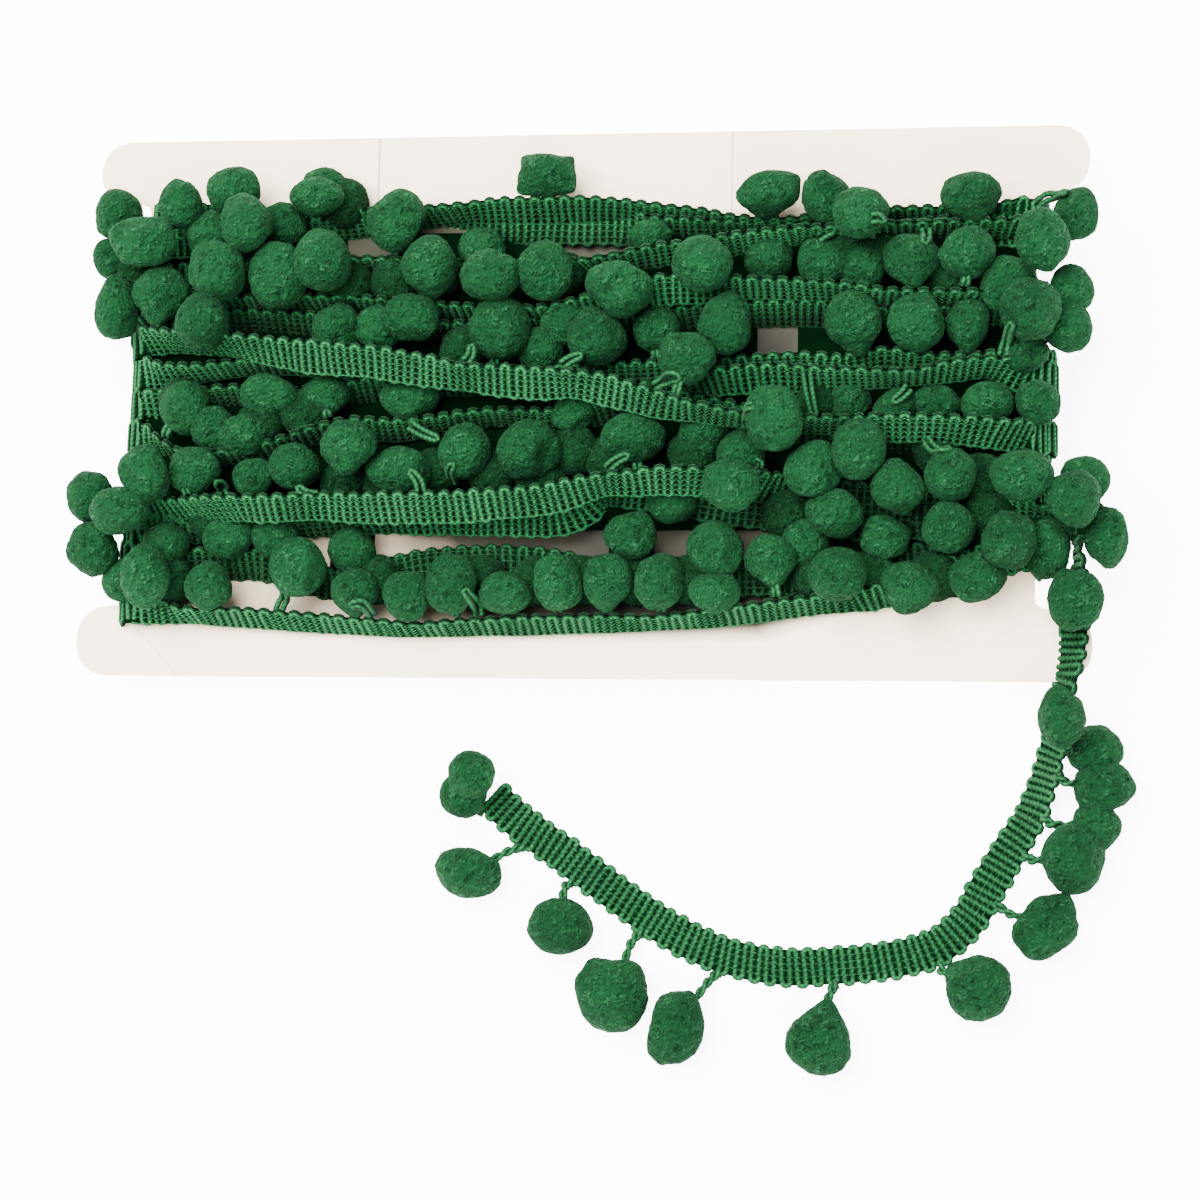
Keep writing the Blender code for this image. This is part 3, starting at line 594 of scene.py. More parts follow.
# Painted shade on the flanks of the yarn and a painted highlight on its faces, round the yarn.
FLANK_SHADE_FACE_HIGHLIGHT = ((0.0, 0.18), (0.45, 0.68), (1.0, 2.45))
FLECK_SHADES = ((0.3, 0.62), (0.5, 1.0), (0.72, 1.5))


def wave_of(tree, kind, turns):
    """A wave between 0 and 1 that rises twice in each full turn."""
    wave = calculate(tree, kind, calculate(tree, "MULTIPLY", turns, 2 * math.tau))
    return calculate(tree, "MULTIPLY_ADD", wave, 0.5, 0.5)


def yarn_material(name, lift, gloss):
    """Two-ply yarn, its plies twisted once in every TWIST_PITCH; lift lightens the whole.

    V runs round the yarn from the top of the braid's face: the flanks, which lie against the next
    rib, are darkened as painted shade, and the two faces lightened as a painted highlight.
    """
    material, shader = plain_material(name, GREEN_MID, 0.9, {
        "Sheen Weight": 0.10 * gloss, "Sheen Roughness": 0.28,
        "Sheen Tint": (0.35, 0.82, 0.46, 1.0), "Specular IOR Level": 0.08 * gloss})
    tree = material.node_tree
    yarn = split(tree, add_node(tree, "ShaderNodeUVMap", {}, uv_map="yarn").outputs["UV"])
    turns = calculate(tree, "MULTIPLY_ADD", yarn["X"], 1 / TWIST_PITCH, yarn["Y"])
    ply = wave_of(tree, "SINE", turns)
    # Painted shade in the valley between the plies and a painted highlight on their crests.
    colour = ramp(tree, ply, (0.0, GREEN_DEEP), (0.35, GREEN_MID), (1.0, GREEN_LIGHT))
    # Painted shade on the flanks and a painted highlight on the faces.
    colour = tint(tree, colour, ramp(tree, wave_of(tree, "COSINE", yarn["Y"]), *FLANK_SHADE_FACE_HIGHLIGHT))
    fibres = object_noise(tree, *YARN_FIBRES)
    colour = tint(tree, colour, ramp(tree, fibres, *FLECK_SHADES))
    dye_and_shade(tree, shader, colour, object_noise(tree, *YARN_PATCHES), 0.88 * lift, 1.12 * lift)
    height = calculate(tree, "MULTIPLY_ADD", fibres, 0.6, calculate(tree, "MULTIPLY", ply, 0.7))
    sink(tree, shader, height, 0.6, YARN_RELIEF)
    return material


rib_finish = yarn_material("green_rib_yarn", lift=1.0, gloss=1.0)
# The ground is painted dark, as painted shade deep between the ribs.
shaded_ground_finish = yarn_material("green_ground_yarn_painted_shade", lift=0.26, gloss=0.0)
stem_finish = yarn_material("green_stem_yarn", lift=0.85, gloss=1.0)
print("yarn nodes", len(rib_finish.node_tree.nodes))

# %% Strokes of the felt, and painted light and shade on its lumps
# The way along which the painted light and shade on the felt's lumps is worked out.
LUMP_LIGHT_SHIFT = (0.00025, -0.00025, -0.0001)
# From nothing to full, a stroke's cover takes this much of the noise over its threshold.
COVER_FADE = 0.07


def strokes(tree, shift, scale, width, threshold):
    """Short curved strokes: thin level lines of one noise, where another is over a threshold."""
    place = moved(tree, object_place(tree), shift)
    level = noise_at(tree, place, scale, 1.0, 1.2)
    away = calculate(tree, "ABSOLUTE", calculate(tree, "SUBTRACT", level, 0.5))
    line = ramp(tree, away, (0.0, 1.0), (width, 0.0))
    cover = noise_at(tree, place, scale * 0.8, 1.0)
    keep = ramp(tree, cover, (threshold, 0.0), (threshold + COVER_FADE, 1.0))
    return calculate(tree, "MULTIPLY", line, keep)


def painted_lump_light(tree, scale):
    """Painted light and shade on lumps of one size: lighter where they fall along the shift."""
    place = object_place(tree)
    here = noise_at(tree, place, scale, 1.0, 0.4)
    there = noise_at(tree, moved(tree, place, LUMP_LIGHT_SHIFT), scale, 1.0, 0.4)
    return calculate(tree, "SUBTRACT", here, there)


# %% Felt
FELT_GREENS = ((0.28, (0.0028, 0.0238, 0.0076, 1.0)), (0.5, (0.0040, 0.0310, 0.0100, 1.0)),
               (0.72, (0.0054, 0.0395, 0.0132, 1.0)))
STROKE_SHADE_GREEN = (0.0009, 0.0085, 0.0027, 1.0)
STROKE_HIGHLIGHT_GREEN = (0.0150, 0.093, 0.0340, 1.0)
# Each kind of stroke: its shift in metres, its scale, its half width and its threshold.  Fibres
# that stand up get a painted highlight and painted shade beside them, and elsewhere fibres part,
# darkened as painted shade.
STANDING = ((0.0, 0.0, 0.0), 560.0, 0.095, 0.52)
BESIDE = ((-0.00034, 0.00034, 0.0001), 560.0, 0.095, 0.52)
PARTED = ((0.31, 0.22, -0.31), 480.0, 0.085, 0.57)
FELT_FIBRES = (1700.0, 3.0, 0.8, 0.6)
FELT_PATCHES = (150.0, 2.0, 0.5)
FELT_LUMPS = (620.0, 2.0, 0.5)
FELT_GRAIN = (1350.0, 1.0, 0.5)
# Scales of the lumps that get painted light and shade, and how much it tints the felt.
COARSE_LUMP_LIGHT, FINE_LUMP_LIGHT = 640.0, 1300.0
LUMP_LIGHT_SHADES = ((0.28, 0.78), (0.5, 1.0), (0.72, 1.26))
FELT_RELIEF = 0.0010


def felt_height(tree, fibres, standing, parted):
    """Lumps and grain, fibres over them, strokes that stand up, and strokes that part."""
    lumps = object_noise(tree, *FELT_LUMPS)
    grain = object_noise(tree, *FELT_GRAIN)
    height = calculate(tree, "MULTIPLY_ADD", lumps, 1.3, calculate(tree, "MULTIPLY", fibres, 0.25))
    height = calculate(tree, "MULTIPLY_ADD", grain, 0.5, height)
    height = calculate(tree, "ADD", height, calculate(tree, "MULTIPLY", standing, 0.30))
    return calculate(tree, "SUBTRACT", height, calculate(tree, "MULTIPLY", parted, 0.35))


def felt_material(name):
    """Dense wool felt: soft patches, and short strokes where fibres stand up or part."""
    # The strokes and lumps of the felt carry painted highlights and painted shade.
    material, shader = plain_material(name, GREEN_MID, 0.95, {
        "Sheen Weight": 0.05, "Sheen Roughness": 0.14, "Sheen Tint": (0.22, 0.78, 0.38, 1.0),
        "Specular IOR Level": 0.03})
    tree = material.node_tree
    fibres = object_noise(tree, *FELT_FIBRES)
    standing, beside, parted = (strokes(tree, *kind) for kind in (STANDING, BESIDE, PARTED))
    colour = ramp(tree, fibres, *FELT_GREENS)
    # Painted shade beside standing fibres and where fibres part; a painted highlight on them.
    dark = calculate(tree, "MULTIPLY", calculate(tree, "MAXIMUM", beside, parted), 0.80)
    colour = mix_colours(tree, "MIX", dark, colour, STROKE_SHADE_GREEN)
    light = calculate(tree, "MULTIPLY", standing, 0.58)
    colour = mix_colours(tree, "MIX", light, colour, STROKE_HIGHLIGHT_GREEN)
    # Painted light and shade on the lumps: lighter on one side, darker on the other.
    fine = calculate(tree, "MULTIPLY", painted_lump_light(tree, FINE_LUMP_LIGHT), 0.8)
    rise = calculate(tree, "ADD", calculate(tree, "ADD", painted_lump_light(tree, COARSE_LUMP_LIGHT), fine), 0.5)
    colour = tint(tree, colour, ramp(tree, rise, *LUMP_LIGHT_SHADES))
    dye_and_shade(tree, shader, colour, object_noise(tree, *FELT_PATCHES), 0.86, 1.16)
    sink(tree, shader, felt_height(tree, fibres, standing, parted), 1.0, FELT_RELIEF)
    return material


felt_finish = felt_material("green_felt")
print("felt nodes", len(felt_finish.node_tree.nodes))

# %% [markdown]
# ## The card
#
# The card is a die-cut board, and the imported solid has its true outline already, so it stays.  Its
# paper is plain where it lies open.  Between the turns it is in deep shade, and wide soft lights
# reach in further than that, so the shade is painted into the finish: a box on the card's face with
# a soft edge, cloudy inside, and weaker where the winding is open.

# %% Where the board is shaded, in metres
# The box under the winding: axis, middle and half size.
COVERED_BOX = (("X", 0.0, 0.109), ("Y", -0.0055, 0.0515))
BOX_FADE = 160.0
# To the right of RISE_FROM the lower edge of the shade rises from RISE_LOW by RISE_SLOPE.
RISE_FROM, RISE_LOW, RISE_SLOPE, RISE_FADE = 0.045, -0.057, 0.36, 120.0
# How deep the shade is by place, from LEAST_SHADE at the lower left up to 1: axis, slope, offset.
SHADE_SLOPES = (("X", 16.0, 1.20), ("Y", 30.0, 1.43))
LEAST_SHADE = 0.46


def covered_share(tree, place):
    """How far a place lies under the winding, and how deep its painted shade is, both up to 1."""
    sides = []
    for axis, middle, half in COVERED_BOX:
        away = calculate(tree, "ABSOLUTE", calculate(tree, "SUBTRACT", place[axis], middle))
        sides.append(calculate(tree, "MULTIPLY_ADD", away, -BOX_FADE, BOX_FADE * half + 0.5))
    past = calculate(tree, "MAXIMUM", calculate(tree, "SUBTRACT", place["X"], RISE_FROM), 0.0)
    start = 0.5 - RISE_FADE * RISE_LOW
    start = calculate(tree, "MULTIPLY_ADD", past, -RISE_SLOPE * RISE_FADE, start)
    sides.append(calculate(tree, "MULTIPLY_ADD", place["Y"], RISE_FADE, start))
    within = calculate(tree, "MINIMUM", sides[0], calculate(tree, "MINIMUM", *sides[1:]))
    within = calculate(tree, "MINIMUM", within, 1.0)
    slopes = [calculate(tree, "MULTIPLY_ADD", place[axis], slope, offset)
              for axis, slope, offset in SHADE_SLOPES]
    depth = calculate(tree, "MAXIMUM", calculate(tree, "MAXIMUM", *slopes), LEAST_SHADE)
    return calculate(tree, "MULTIPLY", within, calculate(tree, "MINIMUM", depth, 1.0))


# %% Faint marks of the board
# Straight lines on the card's face: the way across each, its offset, 1 for the upper half alone,
# and its strength.  Two bound the bare label panel, and one is a crease in a corner, whose dark
# line is painted shade.
FAINT_LINES = ((1.0, 0.0, -0.0526, 1, 1.0), (1.0, 0.0, 0.0371, 1, 0.7),
               (0.7251, 0.6887, -0.1190, 0, 0.4))
LINE_FADE = 2600.0
MARK_SHADE = 0.34
FACE_DEPTH = 0.0003


def faint_marks(tree, place, within):
    """The lines on the card's face, where it lies open."""
    face = calculate(tree, "GREATER_THAN", place["Z"], CARD_TOP * MM - FACE_DEPTH)
    upper = calculate(tree, "MULTIPLY", face, calculate(tree, "GREATER_THAN", place["Y"], 0.0))
    marks = 0.0
    for across, along, offset, upper_alone, strength in FAINT_LINES:
        line = calculate(tree, "ADD", calculate(tree, "MULTIPLY", place["X"], across),
                         calculate(tree, "MULTIPLY", place["Y"], along))
        away = calculate(tree, "ABSOLUTE", calculate(tree, "SUBTRACT", line, offset))
        near = calculate(tree, "MULTIPLY", calculate(tree, "MULTIPLY_ADD", away, -LINE_FADE, 1.0),
                         upper if upper_alone else face)
        marks = calculate(tree, "MAXIMUM", marks, calculate(tree, "MULTIPLY", near, strength))
    bare = calculate(tree, "SUBTRACT", 1.0, calculate(tree, "MAXIMUM", within, 0.0))
    return calculate(tree, "MULTIPLY", marks, bare)


# %% Board
BOARD_MOTTLE = (45.0, 5.0)
PAINTED_SHADE_CLOUDS = (70.0, 1.0)
BOARD_TOOTH = (2500.0, 3.0)
BOARD_RELIEF = 0.0001
BOARD_WHITES = ((0.3, (0.965, 0.790, 0.575, 1.0)), (0.7, (0.985, 0.815, 0.600, 1.0)))
# The painted shade under the winding, from none to the deepest.
BOARD_SHADES = ((0.0, 1.0), (0.6, (0.040, 0.047, 0.038, 1.0)), (1.0, (0.009, 0.011, 0.009, 1.0)))


def board_material(name):
    """Coated board: warm white, faint mottle, soft tooth, and painted shade under the winding."""
    material, shader = plain_material(name, (0.90, 0.82, 0.745, 1.0), 0.55,
                                      {"Specular IOR Level": 0.12})
    tree = material.node_tree
    colour = ramp(tree, object_noise(tree, *BOARD_MOTTLE), *BOARD_WHITES)
    place = split(tree, object_place(tree))
    # Painted shade under the winding, cloudy inside.
    within = covered_share(tree, place)
    cloud = calculate(tree, "MULTIPLY_ADD", object_noise(tree, *PAINTED_SHADE_CLOUDS), 0.6, 0.55)
    shade = ramp(tree, calculate(tree, "MULTIPLY", within, cloud), *BOARD_SHADES)
    colour = tint(tree, colour, shade)
    marks = ramp(tree, faint_marks(tree, place, within), (0.0, 1.0), (1.0, MARK_SHADE))
    tree.links.new(tint(tree, colour, marks), shader.inputs["Base Color"])
    sink(tree, shader, object_noise(tree, *BOARD_TOOTH), 0.15, BOARD_RELIEF)
    return material


board_finish = board_material("pale_board")
card = bpy.data.objects["card"]
card.material_slots[0].material = board_finish
print("card slots", len(card.material_slots), "nodes", len(board_finish.node_tree.nodes))

# %% [markdown]
# ## The ground of the braid
#
# The ribs are held by a thin ground of fine warp threads, which shows only between them, painted
# dark green for the shade there.  It is the braid's sheet: one closed ribbon as long as the trim.
# Wide runs under it stand for the deepest turns, painted near black for their shade, and stop where
# the card can be seen.

# %% The deepest turns
DEEP_ROWS = (38.5, 29.0, 20.0, 10.5, 1.0, -8.5, -18.0, -27.5, -37.0, -44.0)
DEEP_WIDTH = 9.9
DEEP_THICKNESS = 0.4
DEEP_END = 112.0
DEEP_LEVEL = 0.55
DEEP_STEP = 0.12
# The deepest turns are painted near black, as painted shade.
DEEP_TURN_TONE = 0.05
SHORTEST_RUN = 3
# A bare spot cuts a row that it overlaps by more than this.
SPOT_OVERLAP = 1.0
BOX_QUADS = ((0, 1, 5, 4), (1, 2, 6, 5), (2, 3, 7, 6), (3, 0, 4, 7), (3, 2, 1, 0), (4, 5, 6, 7))
# Where the card is seen between the turns: from x, to x, from y, to y.
BARE_SPOTS = [
    (-5, 12, 34, 44), (-60, -47.5, 37, 41), (-57, -45, 29.5, 33.5), (-50, 8.5, -38.5, -31.6),
    (-70, -61, -35, -31.6), (19.5, 31, -37, -31.6), (39.5, 47.5, -35, -31.6), (40, 47, -50, -44),
    (-88, -60, -54, -46), (98, 115, -54, -44), (44, 54, 12.5, 18),
]


def open_runs(y):
    """From x to x of each run that a row has between the bare spots."""
    runs = [(-DEEP_END, DEEP_END)]
    reach = DEEP_WIDTH / 2 - SPOT_OVERLAP
    for x0, x1, y0, y1 in BARE_SPOTS:
        if y1 > y - reach and y0 < y + reach:
            cut = [((start, min(end, x0)), (max(start, x1), end)) for start, end in runs]
            runs = [run for pair in cut for run in pair if run[1] - run[0] > SHORTEST_RUN]
    return runs


heap = Heap()
for number, y in enumerate(DEEP_ROWS):
    level = CARD_TOP + DEEP_LEVEL + DEEP_STEP * (number % 2)
    for run in open_runs(y):
        verts = [(x, y + side * DEEP_WIDTH / 2, level + up * DEEP_THICKNESS / 2)
                 for x in run for side, up in ((-1, -1), (1, -1), (1, 1), (-1, 1))]
        uvs = np.full((4 * len(BOX_QUADS), 2), 0.5)
        heap.add(np.array(verts), BOX_QUADS, uvs, [], DEEP_TURN_TONE)
heap.make("deep_turns", shaded_ground_finish, "yarn")

# %% Ground ribbon
GROUND_WIDTH = 8.6
GROUND_THICKNESS = 0.36
GROUND_STEP = 2.5
GROUND_SECTION = ((-1, -1), (0, -1), (1, -1), (1, 1), (0, 1), (-1, 1))
# The ground's low tone is painted shade between the ribs.
GROUND_TONE = 0.3
# The loose end's ground stops this short of its last rib, which hides the cut.
GROUND_SHORT = 1.2


def ground_ribbon(way, name, end):
    """A flat closed ribbon along a way, up to a length."""
    u = np.linspace(0.0, end, max(2, round(end / GROUND_STEP)))
    widths = np.array([side * GROUND_WIDTH / 2 for side, _ in GROUND_SECTION])
    levels = [up * GROUND_THICKNESS / 2 for _, up in GROUND_SECTION]
    columns = [way.place(u, np.full(len(u), width), np.full(len(u), level))
               for width, level in zip(widths, levels)]
    verts = np.stack(columns, axis=1).reshape(-1, 3)
    quads, caps = tube_faces(len(u), len(GROUND_SECTION))
    heap = Heap()
    heap.add(verts, quads, tube_uvs(u, widths, np.roll(widths, -1)), caps, GROUND_TONE)
    return heap.make(name, shaded_ground_finish, "yarn")


wound_braid = ground_ribbon(wound_way, "wound_braid", wound_way.length)
loose_braid = ground_ribbon(loose_way, "loose_braid", loose_way.length - GROUND_SHORT)

# %% [markdown]
# ## Ribs
#
# One rib yarn goes back and forth across the whole braid.  Each crossing is a rib, and each turn a
# small loop that makes the scalloped edge.  Every rib is pinched a little where the binding threads
# cross it.  Ribs on the front and on the loose end have more points than those underneath.

# %% Measures of the ribs
RIB_PITCH = 1.87
RIB_RADIUS = 0.76
BRAID_HALF = 5.15
LOOP_REACH = 1.05
LOOP_DIP = 0.12
LOOP_SQUARENESS = 0.6
RIB_WAVE = 0.13
WAVE_LENGTH = 1.62
WAVE_DRIFT = 0.35
THREAD_ROWS = (-2.45, -0.85, 0.75, 2.35)
PINCH_REACH = 0.34
PINCH_DEPTH = 0.10
PINCH_THINNING = 0.13
RIB_REACH = BRAID_HALF - LOOP_REACH - RIB_RADIUS
LOOP_START = RIB_REACH - 0.2
LOOP_THICKNESS = 0.97
# Loops get a higher tone than ribs, a painted highlight where they curve round the edge.
LOOP_TONE, RIB_TONE, TONE_CHANCE = 0.56, 0.47, 0.04
# The most that each rib differs, either way, in place, length, bow, height and thickness, and the
# most that its skew changes from one rib to the next.
RIB_SHIFT, RIB_STRETCH, RIB_BOW, RIB_LIFT, RIB_SWELL = 0.10, 0.18, 0.12, 0.10, 0.05
SKEW_CHANGE, SKEW_RETURN = 0.05, 0.08
print("a straight rib reaches", round(RIB_REACH, 2), "mm each side, its loops", BRAID_HALF)


# %% One run of rib yarn
def either_way(dice, most):
    """A chance value between minus most and most."""
    return dice.uniform(-most, most)


def rib_run(way, start, end, dice, crossing, loop, sides, pressed, darker=0.0):
    """One continuous rib yarn between two lengths, as a swept tube and its tones.

    Each rib has so many points across and each loop so many round, with so many sides.
    """
    count = max(2, round((end - start) / RIB_PITCH))
    pitch = (end - start) / count
    levels = np.linspace(-1, 1, crossing)
    angles = np.linspace(0, math.pi, loop + 2)[1:-1]
    turn = np.sign(np.cos(angles)) * np.abs(np.cos(angles)) ** LOOP_SQUARENESS
    u, v, w, radius = [], [], [], []
    skew = 0.0
    for number in range(count):
        side = 1 if number % 2 == 0 else -1
        middle = start + (number + 0.5) * pitch + either_way(dice, RIB_SHIFT)
        skew += either_way(dice, SKEW_CHANGE) - skew * SKEW_RETURN
        reach = RIB_REACH + either_way(dice, RIB_STRETCH)
        bow = either_way(dice, RIB_BOW)
        across = levels * reach * side
        pinch = pressed * sum(np.exp(-((across - row) / PINCH_REACH) ** 2) for row in THREAD_ROWS)
        wave = RIB_WAVE * np.sin(across * math.tau / WAVE_LENGTH + number * WAVE_DRIFT)
        u += list(middle + across * skew * 0.5 + bow * (1 - levels ** 2) + wave)
        v += list(across)
        w += list(either_way(dice, RIB_LIFT) - PINCH_DEPTH * pinch)
        thick = RIB_RADIUS * (1 + either_way(dice, RIB_SWELL))
        radius += list(thick * (1 - PINCH_THINNING * pinch))
        if number < count - 1:
            u += list(middle + pitch / 2 - pitch / 2 * turn + side * reach * skew * 0.5)
            v += list(side * (reach + LOOP_REACH * np.sin(angles)))
            w += list(-LOOP_DIP * np.sin(angles))
            radius += [RIB_RADIUS * LOOP_THICKNESS] * loop
    u, v = np.clip(np.array(u), start, end), np.array(v)
    points = way.place(u, v, np.array(w))
    bright = np.where(np.abs(v) > LOOP_START, LOOP_TONE, RIB_TONE) - darker
    tone = depth_tone(points, bright) + np.array([either_way(dice, TONE_CHANCE) for _ in points])
    tube = sweep(points, unit(way.read(way.face, u)), np.array(radius), sides)
    return (*tube, np.repeat(tone, sides))


# %% Ribs of the winding and of the loose end
# How proud the binding threads stand on each front pass, from 0, sunk, to 1.
WAFFLE = (0.3, 0.5, 0.4, 0.2, 0.6, 0.5, 0.3, 0.4, 0.9, 0.8, 0.4, 0.75, 0.8)
UPPER_PASSES = 7
LEAST_PRESSED = 0.4
# How far the loose end's ribs stop from its two ends.
LOOSE_RIB_ENDS = (0.5, 0.4)

dice = random.Random(SEED)
upper, lower, under, loose = Heap(), Heap(), Heap(), Heap()
cursor = 0.0
for number, (first, last) in enumerate(front_spans):
    if first > cursor:
        under.add(*rib_run(wound_way, cursor, first, dice, crossing=5, loop=1, sides=5,
                           pressed=0.5))
    heap = upper if number < UPPER_PASSES else lower
    heap.add(*rib_run(wound_way, first, last, dice, crossing=9, loop=3, sides=5,
                      pressed=LEAST_PRESSED + (1 - LEAST_PRESSED) * WAFFLE[number]))
    cursor = last
first, last = LOOSE_RIB_ENDS[0], loose_way.length - LOOSE_RIB_ENDS[1]
# The loose end's ribs get painted shade, as they lie flat and catch more light than the winding.
loose.add(*rib_run(loose_way, first, last, dice, crossing=15, loop=5, sides=8, pressed=0.6,
                   darker=0.28))
upper.make("wound_ribs_upper", rib_finish, "yarn")
lower.make("wound_ribs_lower", rib_finish, "yarn")
under.make("wound_ribs_under", rib_finish, "yarn")
loose.make("loose_ribs", rib_finish, "yarn")

# %% [markdown]
# ## Binding threads
#
# Fine threads run the length of the braid over the ribs, and dip into each groove, which gives the
# face its waffle look.  They are bright where they ride over a rib and dark with painted shade in
# the grooves, and both change slowly along the braid, as its weave does.  A thicker one closes the
# plain edge.

# %% Threads along the braid
THREAD_RADIUS = 0.28
TOP_ROW = 3.45
EDGE_ROW = -4.05
EDGE_RADIUS = 0.34
THREAD_SWAY = 0.10
THREAD_MARGIN = 0.1
SINK = 0.17
GROOVE_LIFT = 0.16
GROOVE_SHADE, GROOVE_LIGHT = 0.16, 0.52
# Slow waves along the braid: their long and longer lengths, and how much the longer bends them.
SINK_WAVE = (3.1, 11.0, 1.2)
WAFFLE_WAVE = (9.0, 23.0, 1.7)
WAFFLE_SHIFT = 9.0
# Height over the ground on a rib and in a groove: for a sunk thread, and what a proud one adds.
TOP_HEIGHT, TOP_PROUD = 0.68, 0.26
GROOVE_HEIGHT, GROOVE_PROUD = 0.02, 0.10
# How far the loose end's threads stop from its two ends.
LOOSE_THREAD_ENDS = (0.6, 0.5)


def slow_wave(u, long, longer, strength, phase=0.0):
    """An uneven wave between 0 and 1 along the braid."""
    return 0.5 + 0.5 * np.sin(u / long + strength * np.sin(u / longer) + phase)


def thread_run(way, start, end, dice, row, radius, over, groove, sides, bright, waffle):
    """One thread along the braid, over each rib and down into each groove, and its tones."""
    count = max(2, round((end - start) / RIB_PITCH))
    u = np.linspace(start + THREAD_MARGIN, end - THREAD_MARGIN, 2 * count + 1)
    on_top = np.arange(len(u)) % 2 == 1
    sunk = 2 * SINK * (1 - slow_wave(u, *SINK_WAVE))
    waffled = waffle * slow_wave(u, *WAFFLE_WAVE, over * WAFFLE_SHIFT)
    w = np.where(on_top, over - sunk, groove + GROOVE_LIFT * waffled)
    sway = np.array([either_way(dice, THREAD_SWAY) for _ in u])
    points = way.place(u, row + sway, w)
    # Painted shade darkens each thread in the grooves, less where the weave lifts it.
    tone = np.where(on_top, bright, bright * (GROOVE_SHADE + GROOVE_LIGHT * waffled))
    tone = np.repeat(depth_tone(points, tone), sides)
    return (*sweep(points, unit(way.read(way.face, u)), radius, sides), tone)


wound, loose = Heap(), Heap()
for (first, last), proud in zip(front_spans, WAFFLE):
    over, groove = TOP_HEIGHT + TOP_PROUD * proud, GROOVE_HEIGHT + GROOVE_PROUD * proud
    for row in (*THREAD_ROWS, TOP_ROW):
        wound.add(*thread_run(wound_way, first, last, dice, row, THREAD_RADIUS, sides=3,
                              bright=0.80, over=over, groove=groove, waffle=1.0))
    wound.add(*thread_run(wound_way, first, last, dice, EDGE_ROW, EDGE_RADIUS, sides=4, bright=0.56,
                          over=0.45, groove=0.25, waffle=1.0))
first, last = LOOSE_THREAD_ENDS[0], loose_way.length - LOOSE_THREAD_ENDS[1]
for row in THREAD_ROWS:
    loose.add(*thread_run(loose_way, first, last, dice, row, THREAD_RADIUS, sides=4, bright=0.36,
                          over=0.56, groove=-0.05, waffle=0.25))
wound.make("wound_threads", rib_finish, "yarn")
loose.make("loose_threads", rib_finish, "yarn")

# %% [markdown]
# ## Pompom shapes
#
# A felted pompom starts as a clipped ball of wool and is rubbed until it is dense.  None is a true
# ball: some are flat on one side, some drawn out towards the stem, most have a dimple where the
# stem goes in.  Eight shapes are modelled from a divided cube made round, pushed and pulled with
# proportional editing, and roughened by two displacements.  Copies of them, each turned and scaled
# on its own, look like no two are the same.

# %% Shapes of a ball
# Each shape: pushes as (direction, move, reach), large lumps, fine lumps.
BALL_SHAPES = [
    ([((0, 1, 0), (0, -0.12, 0), 0.40)], 0.10, 0.045),
    ([((0, 1, 0), (0, -0.16, 0), 0.35), ((0.7, 0.1, 0.7), (-0.10, 0, -0.10), 0.8)], 0.12, 0.050),
    ([((0, 1, 0), (0, 0.30, 0), 0.75), ((0, 1, 0.1), (0, -0.06, 0), 0.2)], 0.08, 0.045),
    ([((0, 1, 0), (0, -0.14, 0), 0.30), ((1, 0.25, 0), (-0.26, 0, 0), 0.7)], 0.10, 0.045),
    ([((0, 1, 0), (0, -0.20, 0), 0.30), ((0.35, 0.9, 0.2), (0.0, -0.16, 0), 0.3),
      ((-0.8, -0.2, 0.5), (0.08, 0, -0.06), 0.6)], 0.14, 0.055),
    ([((0, 1, 0), (0, -0.08, 0), 0.35), ((0, -1, 0), (0, 0.12, 0), 0.9),
      ((0, 0, 1), (0, 0, -0.10), 0.8)], 0.10, 0.042),
    ([((0, 1, 0), (0, 0.16, 0), 0.9), ((0.6, -0.7, 0.2), (0.08, -0.06, 0), 0.6)], 0.12, 0.050),
    ([((0, 1, 0), (0, -0.10, 0), 0.25), ((-1, 0.1, 0.2), (0.12, 0, 0), 0.6),
      ((0.9, -0.3, 0), (0.10, 0, 0), 0.5)], 0.11, 0.050),
]
# Cuts across each side of the cube, from the nearest pompoms to those in the dark.
FINE, MEDIUM, COARSE, PLAIN = 19, 15, 11, 7
BALL_CUTS = (FINE, MEDIUM, COARSE, PLAIN)
# Scales of the lumps and of the grain on the first shape, and what each later shape adds.
LUMP_SCALE, LUMP_SCALE_STEP = 0.75, 0.13
GRAIN_SCALE, GRAIN_SCALE_STEP = 0.20, 0.015


def select_near(ball, way):
    """Select, in edit mode, the vertex that looks most nearly along a direction."""
    bm = bmesh.from_edit_mesh(ball.data)
    way = Vector(way).normalized()
    best = max(bm.verts, key=lambda vert: vert.co.normalized().dot(way))
    for vert in bm.verts:
        vert.select = vert is best
    bm.select_mode = {"VERT"}
    bm.select_flush_mode()
    bmesh.update_edit_mesh(ball.data)


def roughen(ball, label, scale, depth, strength):
    """Displace a ball by clouds of one scale."""
    texture = bpy.data.textures.new(label, "CLOUDS")
    texture.noise_scale = scale
    texture.noise_depth = depth
    rough = ball.modifiers.new(label, "DISPLACE")
    rough.texture = texture
    rough.texture_coords = "LOCAL"
    rough.strength = strength
    bpy.ops.object.modifier_apply(modifier=label)


